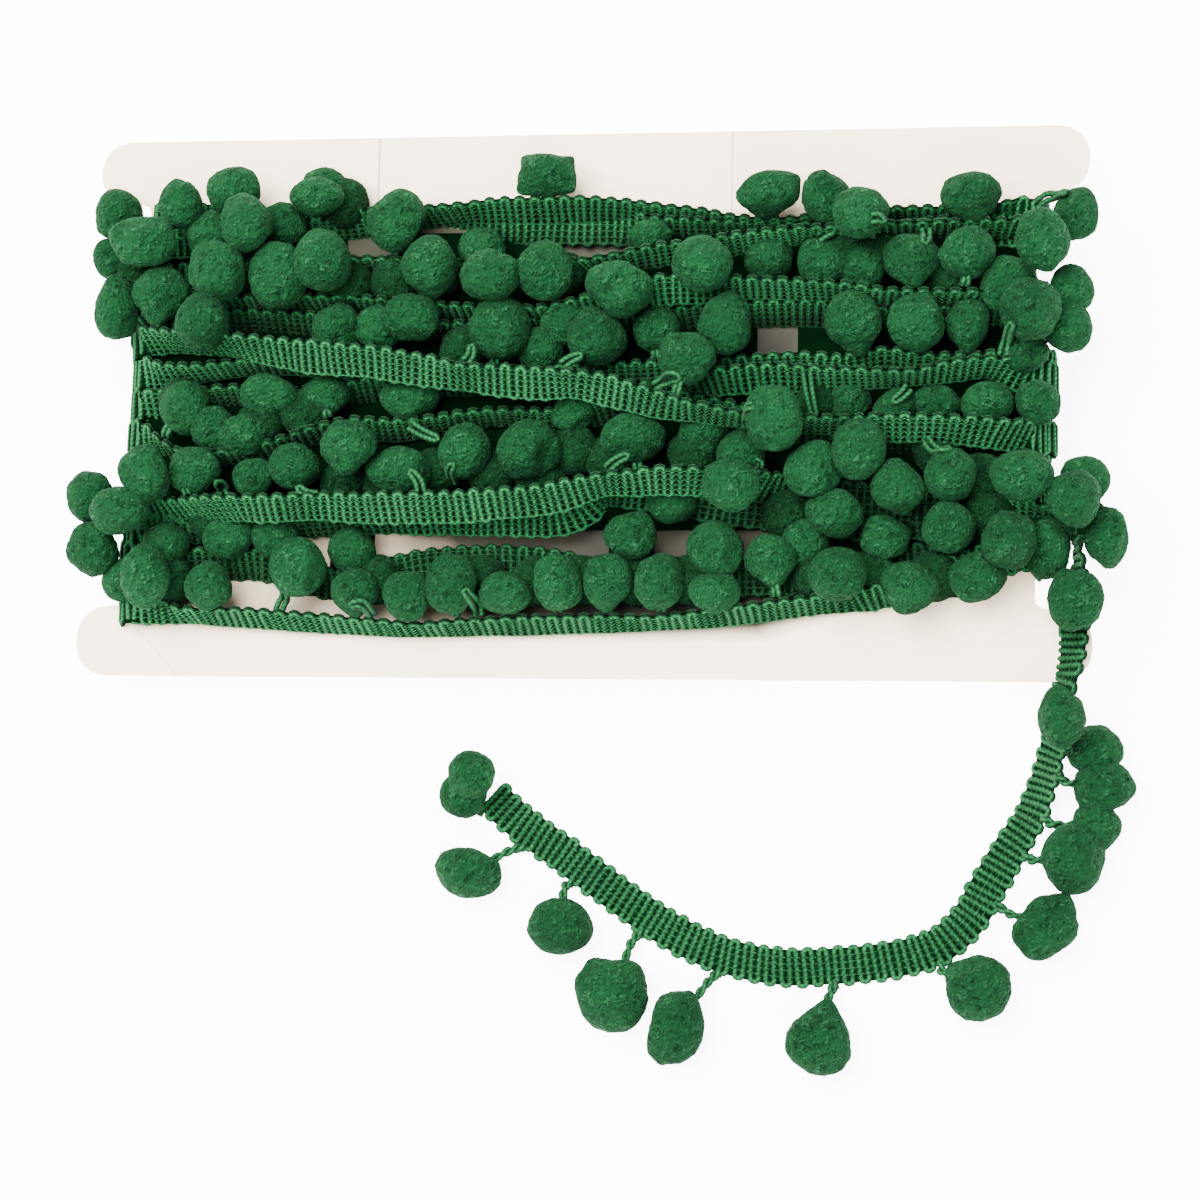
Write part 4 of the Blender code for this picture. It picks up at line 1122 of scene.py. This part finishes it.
# %% Shape one ball
def felt_ball(number, cuts):
    """Points and quads of one pompom shape, its stem side looking along +Y, about one in radius."""
    pushes, lumps, grain = BALL_SHAPES[number]
    bpy.ops.object.select_all(action="DESELECT")
    bpy.ops.mesh.primitive_cube_add(size=2.0)
    ball = bpy.context.object
    bpy.ops.object.mode_set(mode="EDIT")
    bpy.ops.mesh.select_mode(type="VERT")
    bpy.ops.mesh.subdivide(number_cuts=cuts)
    bpy.ops.transform.tosphere(value=1.0)
    bpy.ops.object.mode_set(mode="OBJECT")
    size = 1.0 / ball.data.vertices[0].co.length
    bpy.ops.object.mode_set(mode="EDIT")
    bpy.ops.mesh.select_all(action="SELECT")
    bpy.ops.transform.resize(value=(size, size, size))
    for way, move, reach in pushes:
        select_near(ball, way)
        bpy.ops.transform.translate(value=move, use_proportional_edit=True,
                                    proportional_edit_falloff="SMOOTH", proportional_size=reach)
    bpy.ops.object.mode_set(mode="OBJECT")
    roughen(ball, f"lumps_{number}", LUMP_SCALE + LUMP_SCALE_STEP * number, 0, lumps * 2)
    roughen(ball, f"grain_{number}", GRAIN_SCALE + GRAIN_SCALE_STEP * number, 1, grain * 2)
    mesh = ball.data
    points = np.array([vert.co for vert in mesh.vertices])
    quads = np.array([face.vertices[:] for face in mesh.polygons])
    bpy.data.objects.remove(ball)
    bpy.data.meshes.remove(mesh)
    return points, quads


balls = {(cuts, number): felt_ball(number, cuts)
         for cuts in BALL_CUTS for number in range(len(BALL_SHAPES))}
print("ball shapes", len(balls), "faces", [len(balls[cuts, 0][1]) for cuts in BALL_CUTS])

# %% [markdown]
# ## Pompoms and stems
#
# Every pompom has its own place and size.  Its dimple is turned towards the point of the braid's
# edge from which it hangs, and a stem of doubled yarn joins the two.  Some stems lie in sight as
# small loops over a pompom, and have places of their own.

# %% Places of the pompoms
# The pompoms over the card.  Each row: x, y, height over the card, width, length.
FRONT_POMPOMS = [
    (-117, 47, 10, 12, 13), (-107, 37, 19, 17, 13), (-119, 36, 6, 10, 11), (-116, 22, 11, 11, 16),
    (-104, 25, 12, 15, 15), (-100, 48, 13, 11, 13), (-87, 52, 12, 14, 12), (-81, 41, 20, 13, 15),
    (-93, 42, 9, 12, 12), (-88, 29, 20, 14, 15), (-91, 16, 21, 13, 15), (-74, 29, 13, 15, 17),
    (-62, 32, 19, 14, 16), (-65, 54, 7, 11, 10), (-65, 49, 15, 14, 10), (-75, 43, 8, 13, 13),
    (-60, 17, 8, 13, 13), (-49, 17, 8, 12, 12), (-45, 43, 13, 15, 16), (-36, 31, 14, 14, 16),
    (-24, 37, 8, 12, 11), (-20, 27, 19, 15, 13), (-7, 29, 16, 14, 15), (-40, 18, 14, 14, 12),
    (-18, 15, 14, 15, 16), (6, 13, 14, 15, 15), (-3, 18, 8, 12, 12), (12, 23, 20, 17, 14),
    (18, 40, 7, 11, 9), (20, 16, 8, 12, 12), (-8, 55, 11, 15, 11), (-9, 11, 8, 12, 12),
    (32, 29, 20, 15, 14), (37, 16, 14, 13, 16), (29, 5, 22, 14, 13), (47, 49, 12, 16, 11),
    (61, 48, 12, 12, 14), (70, 41, 20, 14, 13), (47, 34, 7, 12, 12), (60, 33, 7, 12, 12),
    (70, 31, 8, 11, 12), (82, 31, 12, 14, 14), (68, 16, 13, 14, 16), (83, 16, 12, 14, 15),
    (95, 33, 14, 14, 13), (96, 47, 12, 15, 12), (113, 34, 19, 13, 16), (121, 43, 11, 11, 14),
    (105, 26, 9, 14, 14), (110, 17, 19, 15, 15), (120, 24, 10, 11, 13), (119, 15, 11, 12, 13),
    (95, 16, 8, 11, 14), (109, 10, 8, 12, 11), (67, -2, 7, 11, 10), (78, -4, 7, 11, 10),
    (88, -3, 7, 12, 10), (100, -3, 7, 13, 11), (112, -3, 8, 11, 11), (-98, -3, 8, 13, 14),
    (-76, 0, 8, 15, 11), (-62, 0, 8, 12, 10), (-90, -8.5, 8, 12, 11.5), (-82.5, -10, 9.5, 13, 10.5),
    (-53, -16, 20, 14, 14), (-68, -19, 13, 13, 12), (-79, -21, 9, 11, 10), (-93, -20, 13, 13, 12),
    (-104, -22, 19, 13, 15), (-120, -26, 11, 12, 13), (-110, -31, 19, 15, 12),
    (-119, -39, 10, 13, 14), (-103, -47, 17, 12, 16), (-101, -38, 8, 12, 12),
    (-112, -46, 6, 11, 11), (-88.7, -48.5, 12, 12, 12.5), (-85, -35.7, 8, 13, 11),
    (-73, -36, 8, 12, 11), (-66, -44, 13, 14, 15), (-54, -39, 8, 12, 12), (-52, -50, 12, 12, 12),
    (-41, -1, 8, 15, 11), (-42, -20, 13, 16, 12), (-26, -15, 12, 13, 14), (-10, -15, 13, 16, 15),
    (0, -5, 8, 11, 10), (15, -12, 12, 16, 12), (-39, -51, 12, 12, 13), (-28, -48, 13, 13, 15),
    (-15, -50, 12, 13.2, 10.7), (-2, -47.5, 13, 12.2, 14), (10, -47.5, 12, 12, 14.5),
    (15, -36, 12, 13, 12), (22.2, -47.2, 13, 12, 14), (24.5, -27, 8, 13, 11), (50, -10, 23, 14, 16),
    (32, -10, 9, 12, 12), (41, -15, 9, 12, 12), (40, -26, 23, 14, 13), (59, -21, 17, 14, 14),
    (70, -17, 21, 13, 15), (79, -25, 18, 13, 13), (64, -31, 14, 14, 12), (57, -37, 8, 12, 12),
    (76, -36, 9, 12, 11), (35.5, -39.2, 12, 14, 14), (49, -42, 12, 13, 13),
    (35.5, -49.7, 11, 12.8, 10), (65, -46, 16, 14, 13), (82, -48.9, 14, 14, 13),
    (91.3, -22.1, 16, 12.6, 13), (108, -23.3, 20, 15.2, 12.2), (91, -34, 13, 13, 13),
    (105, -38, 18, 13, 14), (97.9, -46, 12, 13.8, 12), (114.1, -37.9, 7, 11.6, 15),
    (119.9, -28.5, 18.5, 13, 13.8), (123.2, -21.5, 6, 12, 12),
]
# Pompoms deep in the winding, of which only the tops show, dark with painted shade.
# Each row: x, y, height.
DEEP_POMPOMS = [
    (113, -36, 4), (0, -14, 6), (9, -16, 6), (-79, -7, 6), (-68, -4, 6), (-34, -19, 6),
    (-20, -19, 6), (-8, -20, 6), (-57, -21, 6), (-46, -22, 6), (49, -41, 4.5), (-48, -46, 6),
    (-9, -46, 6), (3, -46, 6), (-100, -46, 6), (29, -46, 6), (-22, -46, 6), (16, -46, 6),
    (-58, 29, 6), (-46, 30, 6), (122, -30, 6), (58, -2, 6), (-99, -1, 6), (99, -21, 6),
    (73, -44, 6), (88, -44.5, 6), (75, 36, 6), (90, 29, 6), (-28, 12, 6), (29, -15, 6),
    (109, -19.5, 3.5), (34, -40, 4.5), (60, -44, 6), (-112, 33, 6), (-60, 50, 6), (100, -30, 6),
    (52, -30, 6), (88, -14, 6), (66, 34, 6), (-4, 30, 6), (-35, 32, 6), (-90, -30, 6),
]
# The pompoms of the loose end.  Each row: x, y, width, length, height of its lowest point.
LOOSE_POMPOMS = [
    (128, -35.7, 10.5, 15, 19), (120.6, -51.5, 13.5, 15, 22), (117.6, -77.8, 11.5, 15, 14.5),
    (125.8, -84, 14, 12, 0), (128.2, -93.4, 15, 13.5, 0), (126.3, -102.3, 12, 13, 0),
    (120.6, -110.4, 15.5, 17.5, 0), (114, -126.6, 16, 16.5, 0), (98.2, -141.4, 16, 16, 0),
    (60.5, -153.8, 16, 18.5, 0), (26.4, -152.4, 14, 18, 0), (10.8, -145, 18, 18, 0),
    (-2.6, -128.6, 16.5, 14, 0), (-25.7, -116, 17, 12.5, 0), (-24.6, -92.4, 12, 12, 6.5),
    (-27.6, -96.6, 12, 12, 0),
]
print("pompoms", len(FRONT_POMPOMS), len(DEEP_POMPOMS), len(LOOSE_POMPOMS))

# %% Places of the stems
# Where a stem leaves the loose end's edge, for the pompoms whose stem runs aslant.
LOOSE_ROOTS = {
    4: (117.8, -89.1), 5: (115.8, -101.4), 6: (110.1, -109.2), 7: (103.4, -121.3),
    8: (88.7, -133.6), 9: (64.3, -141.2), 10: (35.8, -140.1), 11: (15.8, -131.3), 12: (0.1, -116.5),
    13: (-12.1, -107.8), 14: (-21.6, -98.6), 15: (-21.6, -98.6),
}
# Stems that lie in sight over a pompom: the root's x, y and height, the tip's x and y, the bow.
LAID_STEMS = [
    (-86.8, -24.8, 8, -86.8, -23.1, 0.3), (-60.7, -27.6, 19, -64.9, -25.9, 0.5),
    (-34.8, -27.1, 20, -37.2, -22.2, -0.6), (10.1, -21.6, 20, 14.6, -18.3, 0.4),
    (-39.8, -8.5, 12, -33.2, -11.9, -0.3), (-29.6, -22.1, 8, -28.2, -19.7, 0.2),
    (-24.9, 5.3, 20, -23.6, 8.6, -0.5), (-1.4, 4.0, 20, 2.7, 6.4, 0.3),
    (20.7, -1.6, 20, 26.9, -0.3, 0.9), (41.8, -8.6, 18, 45.2, -8.1, 0.4),
    (56.9, 5.6, 14, 58.9, -6.7, -0.3), (81.4, -0.0, 12, 78.2, -3.2, 0.2),
    (103.7, 7.9, 10, 105.3, 12.5, 0.4), (85.6, -13.2, 14, 90.6, -16.3, -1.0),
    (111.8, 46.2, 8, 118.2, 47.3, 1.4), (85.2, 39.7, 11, 85.2, 34.7, 0.2),
    (59.4, 37.8, 11, 62.5, 39.3, 0.2), (72.5, 38.1, 10, 75.0, 38.1, 0.2),
    (-71.6, -54.7, 8, -68.1, -49.2, 0.8), (-47.8, -55.6, 8, -51.2, -53.8, -1.2),
    (-22.1, -55.3, 8, -23.6, -50.8, -0.7),
]
print("stems in sight", len(LAID_STEMS))

# %% Forms of single pompoms
# By their row in the table: pushes as (degrees from +X, amount, reach), seen from above.
LOOSE_FORMS = {
    4: ((0, 0.12, 0.5), (-60, -0.20, 0.35)),
    7: ((55, 0.30, 0.40), (150, -0.22, 0.60), (-100, 0.10, 0.7)),
    9: ((80, 0.45, 0.45), (160, -0.10, 0.5)),
    10: ((60, 0.14, 0.60), (165, -0.22, 0.60), (-125, 0.16, 0.60)),
    11: ((130, 0.10, 0.35), (45, 0.10, 0.35), (90, -0.12, 0.30)),
    12: ((0, 0.10, 0.5), (110, -0.08, 0.4)),
    13: ((150, 0.06, 0.5), (55, -0.10, 0.35)),
}
PILE_FORMS = {
    27: ((150, 0.16, 0.50), (-140, -0.24, 0.40), (40, -0.12, 0.45)),
    30: ((45, 0.32, 0.38), (135, 0.32, 0.38), (-45, 0.32, 0.38), (-135, 0.32, 0.38)),
    33: ((70, 0.20, 0.45), (160, -0.12, 0.40), (-150, 0.14, 0.45), (-30, 0.12, 0.45)),
    35: ((40, 0.24, 0.45), (140, -0.14, 0.45), (-50, -0.14, 0.45)),
    36: ((95, -0.16, 0.45), (-40, 0.10, 0.50)),
}
print("forms of their own", len(LOOSE_FORMS), "and", len(PILE_FORMS))

# %% One pompom in its place
CHANCE_PUSHES = 4
PUSH_AMOUNTS = (-0.19, 0.12)
PUSH_REACHES = (0.4, 0.85)
FINE_CALM = 0.4
# A form's pushes look up a little.
FORM_RISE = 0.05


def pushed(points, way, amount, reach):
    """Points near one direction moved along it by an amount, which fades over a reach."""
    way = np.array(way, float) / np.linalg.norm(way)
    away = np.linalg.norm(unit(points) - way, axis=1)
    return points + way * (amount * np.exp(-(away / reach) ** 2))[:, None]


def turned(points, way, spin):
    """Points whose +Y is turned to a direction, after a spin about it."""
    turn = Vector((0, 1, 0)).rotation_difference(Vector(way)).to_matrix()
    return points @ np.array(turn @ Matrix.Rotation(spin, 3, "Y")).T


def pompom(heap, cuts, shape, centre, size, way, tone, dice, form=()):
    """One pompom, turned to its stem and brought to its size across, along and up.

    A few chance pushes make it its own, gentler ones on the finest, and a form adds its own.
    """
    points, quads = balls[cuts, shape]
    points = turned(points, way, dice.uniform(0, math.tau))
    calm = FINE_CALM if cuts == FINE else 1.0
    for _ in range(CHANCE_PUSHES):
        push = [dice.uniform(-1, 1) for _ in range(3)]
        amount = dice.uniform(*PUSH_AMOUNTS) * calm
        points = pushed(points, push, amount, dice.uniform(*PUSH_REACHES))
    for degrees, amount, reach in form:
        angle = math.radians(degrees)
        points = pushed(points, (math.cos(angle), math.sin(angle), FORM_RISE), amount, reach)
    low, high = points.min(axis=0), points.max(axis=0)
    points = (points - (low + high) / 2) / (high - low) * np.array(size) + np.array(centre)
    heap.add(points, quads, np.zeros((4 * len(quads), 2)), [], depth_tone(points, tone))


# %% Where a stem starts
EDGE_INSET = 0.9
ROOT_STRIDE = 2


class Edge:
    """The pompom edge of a way along some spans, where stems may start."""

    def __init__(self, way, spans):
        spots = [np.where((way.at >= first) & (way.at <= last))[0][::ROOT_STRIDE]
                 for first, last in spans]
        spots = np.concatenate(spots)
        self.out, self.face = way.across[spots], way.face[spots]
        self.point = way.point[spots] + self.out * (BRAID_HALF - EDGE_INSET)

    def root(self, centre, highest_y=FAR):
        """The nearest start of a pompom's stem, with the ways out of the edge and of the face."""
        away = np.linalg.norm(self.point - centre, axis=1) + (self.point[:, 1] > highest_y) * FAR
        k = int(np.argmin(away))
        return self.point[k], self.out[k], self.face[k]


def towards(start, end):
    """The direction from one point to another, and their distance."""
    return unit((end - start)[None])[0], np.linalg.norm(end - start)


front_edge = Edge(wound_way, front_spans)
loose_edge = Edge(loose_way, [(0, loose_way.length)])
print("places for stems", len(front_edge.point), "and", len(loose_edge.point))

# %% A stem from the braid's edge to a pompom
STEM_YARN = 0.76
STEM_SIDES = 6
STEM_GAP = 0.86
# How far a stem first goes straight out of the edge: at most, and as a share of its reach.
STEM_LEAVING, LEAVING_SHARE = 3.0, 0.45
STEM_TURN = (0.6, 1.6)
STEM_START_TURN = 0.3
STEM_TONE_CHANCE = 0.08
# Points along a plain and a twisted stem, how thin each gets at its tip, and its tone.
PLAIN_STEM = (8, 1.0, 0.40)
TWISTED_STEM = (20, 0.76, 0.30)


def stem(heap, root, out, up, tip, dice, yarn=STEM_YARN, sag=0.0, twist=0.0):
    """A doubled yarn from the edge to a pompom; twist gives full turns for each mm."""
    count, thinnest, tone = TWISTED_STEM if twist else PLAIN_STEM
    reach = np.linalg.norm(tip - root)
    first = root + unit(out[None])[0] * min(STEM_LEAVING, reach * LEAVING_SHARE)
    t = np.linspace(0, 1, count)[:, None]
    line = (1 - t) ** 2 * root + 2 * t * (1 - t) * first + t * t * tip
    line[:, 2] += sag * np.sin(t[:, 0] * math.pi)
    side, top = side_and_top(line, up[None])
    turn = either_way(dice, STEM_START_TURN)
    turn = turn + np.linspace(0, dice.uniform(*STEM_TURN) + twist * reach * math.tau, count)
    thin = yarn * np.linspace(1.0, thinnest, count)
    for sign in (-1, 1):
        offset = side * np.cos(turn)[:, None] + top * np.sin(turn)[:, None]
        offset = offset * thin[:, None] * STEM_GAP * sign
        strand = sweep(line + offset, up[None], thin, STEM_SIDES)
        heap.add(*strand, tone + either_way(dice, STEM_TONE_CHANCE))


# %% A stem laid over a pompom
UP = np.array((0.0, 0.0, 1.0))
BALL_DEPTH = 0.97
LAID_SPREAD = 0.90
LAID_NARROWING = 0.25
LAID_TONE, LAID_TONE_CHANCE = 0.30, 0.05
LAID_POINTS = 8
# Height of a laid stem's root over the braid, its least height further on, its height over a
# ball in yarn radii, and how far its bend reaches in spreads.
LAID_ROOT_LIFT, LAID_LEAST_LIFT, LAID_BALL_LIFT, LAID_BEND = 0.2, 0.3, 0.6, 0.9
SOFTEN = (0.25, 0.5, 0.25)


def pile_top(x, y):
    """Height of the pompoms' upper faces at a point of the plan, or 0 beside them all."""
    top = 0.0
    for px, py, height, width, length in FRONT_POMPOMS:
        inside = 1 - ((x - px) / (width / 2)) ** 2 - ((y - py) / (length / 2)) ** 2
        if inside > 0:
            rise = (width + length) / 4 * BALL_DEPTH * math.sqrt(inside)
            top = max(top, CARD_TOP + height + rise)
    return top


def laid_stem(heap, x, y, height, tip_x, tip_y, bow, dice):
    """A stem doubled into a narrow loop, which lies from the braid's edge up over a pompom."""
    level = CARD_TOP + height
    t = np.linspace(0, 1, LAID_POINTS)
    plan = np.column_stack((x + (tip_x - x) * t, y + (tip_y - y) * t))
    run = unit(plan[-1] - plan[0])
    beside = np.array((-run[1], run[0]))
    plan = plan + beside * (bow * np.sin(t * math.pi))[:, None]
    strands = []
    for sign in (-1, 1):
        strand = plan + beside * (LAID_SPREAD * (1 - LAID_NARROWING * t) * sign)[:, None]
        levels = [max(level + LAID_LEAST_LIFT, pile_top(px, py) + STEM_YARN * LAID_BALL_LIFT)
                  for px, py in strand]
        levels[0] = level + LAID_ROOT_LIFT
        levels = np.convolve(np.pad(levels, 1, mode="edge"), SOFTEN, mode="valid")
        strands.append(np.column_stack((strand, levels)))
    bend = (strands[0][-1] + strands[1][-1]) / 2 + np.array((*run, 0.0)) * LAID_SPREAD * LAID_BEND
    line = np.vstack((strands[0], bend, strands[1][::-1]))
    tone = LAID_TONE + either_way(dice, LAID_TONE_CHANCE)
    heap.add(*sweep(line, UP[None], STEM_YARN, STEM_SIDES), tone)


# %% Pompoms over the card
# A stem is made where it would show: for a root outside the ball, and not too far from it.
STEM_LONGEST = 15.0
STEM_PAST_BALL = 4.0
OUTSIDE = 0.9
# How far below the braid's face a stem starts, and how far below a ball's middle it ends.
ROOT_DEPTH, TIP_DEPTH = 1.6, 2.5
# How far from a ball's middle a stem ends, in radii, and the least that its root lies nearer the
# card's lower edge, in ball lengths.
TIP_REACH, ROOT_BELOW = 0.3, 0.2
# Pompoms over this height have more faces, and those after this row go to the right-hand piece.
NEAR_HEIGHT = 9
LEFT_ROWS = 52
PILE_TONE, PILE_TONE_CHANCE = 0.50, 0.14
DEEP_SIZE = 12.5
DEEP_FLATNESS = 0.9
# The deep pompoms' low tone is painted shade.
DEEP_TONE = 0.22

dice = random.Random(SEED + 1)
left, right, stems = Heap(), Heap(), Heap()
for number, (x, y, height, width, length) in enumerate(FRONT_POMPOMS):
    centre = np.array((x, y, CARD_TOP + height), float)
    root, out, up = front_edge.root(centre, highest_y=y - length * ROOT_BELOW)
    way, reach = towards(centre, root)
    half = (width + length) / 4
    cuts = MEDIUM if height > NEAR_HEIGHT else COARSE
    shape = dice.randrange(len(BALL_SHAPES))
    heap = right if cuts == MEDIUM and number > LEFT_ROWS else left
    tone = PILE_TONE + either_way(dice, PILE_TONE_CHANCE)
    pompom(heap, cuts, shape, centre, (width, length, 2 * half * BALL_DEPTH), way, tone, dice,
           PILE_FORMS.get(number, ()))
    if half * OUTSIDE < reach < min(STEM_LONGEST, half + STEM_PAST_BALL):
        tip = centre + way * half * TIP_REACH - up * TIP_DEPTH
        stem(stems, root - up * ROOT_DEPTH, out, up, tip, dice)
for row in LAID_STEMS:
    laid_stem(stems, *row, dice)
for x, y, height in DEEP_POMPOMS:
    pompom(right, PLAIN, dice.randrange(len(BALL_SHAPES)), (x, y, CARD_TOP + height),
           (DEEP_SIZE, DEEP_SIZE, DEEP_SIZE * DEEP_FLATNESS), (0, 1, 0), DEEP_TONE, dice)
left.make("pile_pompoms_left", felt_finish, "yarn")
right.make("pile_pompoms_right", felt_finish, "yarn")

# %% Pompoms of the loose end
LOOSE_DEPTH = 0.9
# Loose pompoms have a lower tone than the pile's: painted shade against the glowing floor's light.
LOOSE_TONE, LOOSE_TONE_CHANCE = 0.40, 0.1
LOOSE_STEM_YARN = 0.80
LOOSE_STEM_SAG = 1.0
LOOSE_TIP_REACH = 0.6
LOOSE_TWIST = 0.16
# Up to this row a pompom hangs over the card's edge, and its stem doesn't run aslant.
HANGING_ROWS = 3
# A slanting stem leaves the edge this much outwards and this much along the tail.
LEAVES_OUT, LEAVES_ALONG = 0.6, 0.8

heap, loose_stems = Heap(), Heap()
tail_run = loose_way.point[-1] - loose_way.point[0]
for number, (x, y, width, length, lowest) in enumerate(LOOSE_POMPOMS):
    half = (width + length) / 4
    tall = 2 * half * LOOSE_DEPTH
    centre = np.array((x, y, lowest + tall / 2), float)
    aim = np.array((*LOOSE_ROOTS[number], 1.0)) if number in LOOSE_ROOTS else centre
    root, out, up = loose_edge.root(aim)
    way, reach = towards(centre, root)
    shape = dice.randrange(len(BALL_SHAPES))
    tone = LOOSE_TONE + either_way(dice, LOOSE_TONE_CHANCE)
    pompom(heap, FINE, shape, centre, (width, length, tall), way, tone, dice,
           LOOSE_FORMS.get(number, ()))
    if reach > half * OUTSIDE:
        along = unit(np.cross(up, out)[None])[0]
        along *= np.sign(along @ tail_run) * (number > HANGING_ROWS)
        stem(loose_stems, root, out * LEAVES_OUT + along * LEAVES_ALONG, up,
             centre + way * half * LOOSE_TIP_REACH, dice, LOOSE_STEM_YARN, LOOSE_STEM_SAG,
             LOOSE_TWIST)
heap.make("loose_pompoms", felt_finish, "yarn")
loose_stems.make("loose_stems", stem_finish, "yarn")

# %% [markdown]
# ## Pompoms under the card
#
# Nobody sees the back for long, but the trim has to lie on something: the pompoms there carry the
# card.  They are set out along the back passes by rule, some are left out where others hide them,
# and all are pushed apart until they fit side by side.

# %% Places under the card
BACK_SIZE = 13.5
BACK_HEIGHT = 12.6
BACK_LIFT = 0.5
BACK_PITCH = 25.0
BACK_REACH = 13.0
BACK_WANDER_ALONG = 0.3
BACK_WANDER_ACROSS = 4.0
BACK_HIDDEN_EVERY = 4
BACK_SPACING = 12.8
BACK_LIMIT_X = 112.0
BACK_LIMIT_Y = (-55.0, 50.0)
SETTLE_ROUNDS = 60


def back_places():
    """Places along each pass under the card, one for every pitch."""
    dice = random.Random(SEED)
    places = []
    for number in range(len(BACK_PASSES)):
        y_right = FRONT_PASSES[number][-1][1]
        y_left = FRONT_PASSES[number + 1][0][1]
        count = int(2 * TURN_X / BACK_PITCH)
        for k in range(count):
            share = (k + 0.5 + either_way(dice, BACK_WANDER_ALONG)) / count
            y = y_right + (y_left - y_right) * share + BACK_REACH
            y += either_way(dice, BACK_WANDER_ACROSS)
            if (number + 1) % BACK_HIDDEN_EVERY:
                places.append(Vector((TURN_X * (1 - 2 * share), y)))
    return places


def settle(places):
    """Push places apart until each has room, and keep them under the card."""
    low, high = BACK_LIMIT_Y
    for _ in range(SETTLE_ROUNDS):
        for i, first in enumerate(places):
            for second in places[i + 1:]:
                gap = second - first
                if 0 < gap.length < BACK_SPACING:
                    push = gap.normalized() * (BACK_SPACING - gap.length) / 2
                    first -= push
                    second += push
        for place in places:
            place.x = max(-BACK_LIMIT_X, min(BACK_LIMIT_X, place.x))
            place.y = max(low, min(high, place.y))


places = back_places()
settle(places)
print("places under the card", len(places))

# %% Pompoms and stems under the card
BACK_VARIETY = (0.93, 1.06)
BACK_TONE, BACK_TONE_CHANCE = 0.5, 0.16
BACK_STEM_SHORTEST = 6.0
BACK_STEM_TIP = 3.5

back_spans = [(front_spans[k][1], front_spans[k + 1][0]) for k in range(len(BACK_PASSES))]
back_edge = Edge(wound_way, back_spans)
heap = Heap()
for place in places:
    centre = np.array((*place, BACK_HEIGHT / 2 + BACK_LIFT))
    root, out, up = back_edge.root(centre)
    way, reach = towards(centre, root)
    width, length = (BACK_SIZE * dice.uniform(*BACK_VARIETY) for _ in range(2))
    shape = dice.randrange(len(BALL_SHAPES))
    tone = BACK_TONE + either_way(dice, BACK_TONE_CHANCE)
    pompom(heap, PLAIN, shape, centre, (width, length, BACK_HEIGHT), way, tone, dice)
    if BACK_STEM_SHORTEST < reach < STEM_LONGEST:
        stem(stems, root, out, up, centre + way * BACK_STEM_TIP, dice)
heap.make("back_pompoms", felt_finish, "yarn")
stems.make("wound_stems", stem_finish, "yarn")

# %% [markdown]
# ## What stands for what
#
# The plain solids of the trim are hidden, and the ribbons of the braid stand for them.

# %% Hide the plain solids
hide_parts("wound_trim")
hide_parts("loose_end")
print("woven lengths", round(wound_way.length * MM, 3), "and", round(loose_way.length * MM, 3), "m")
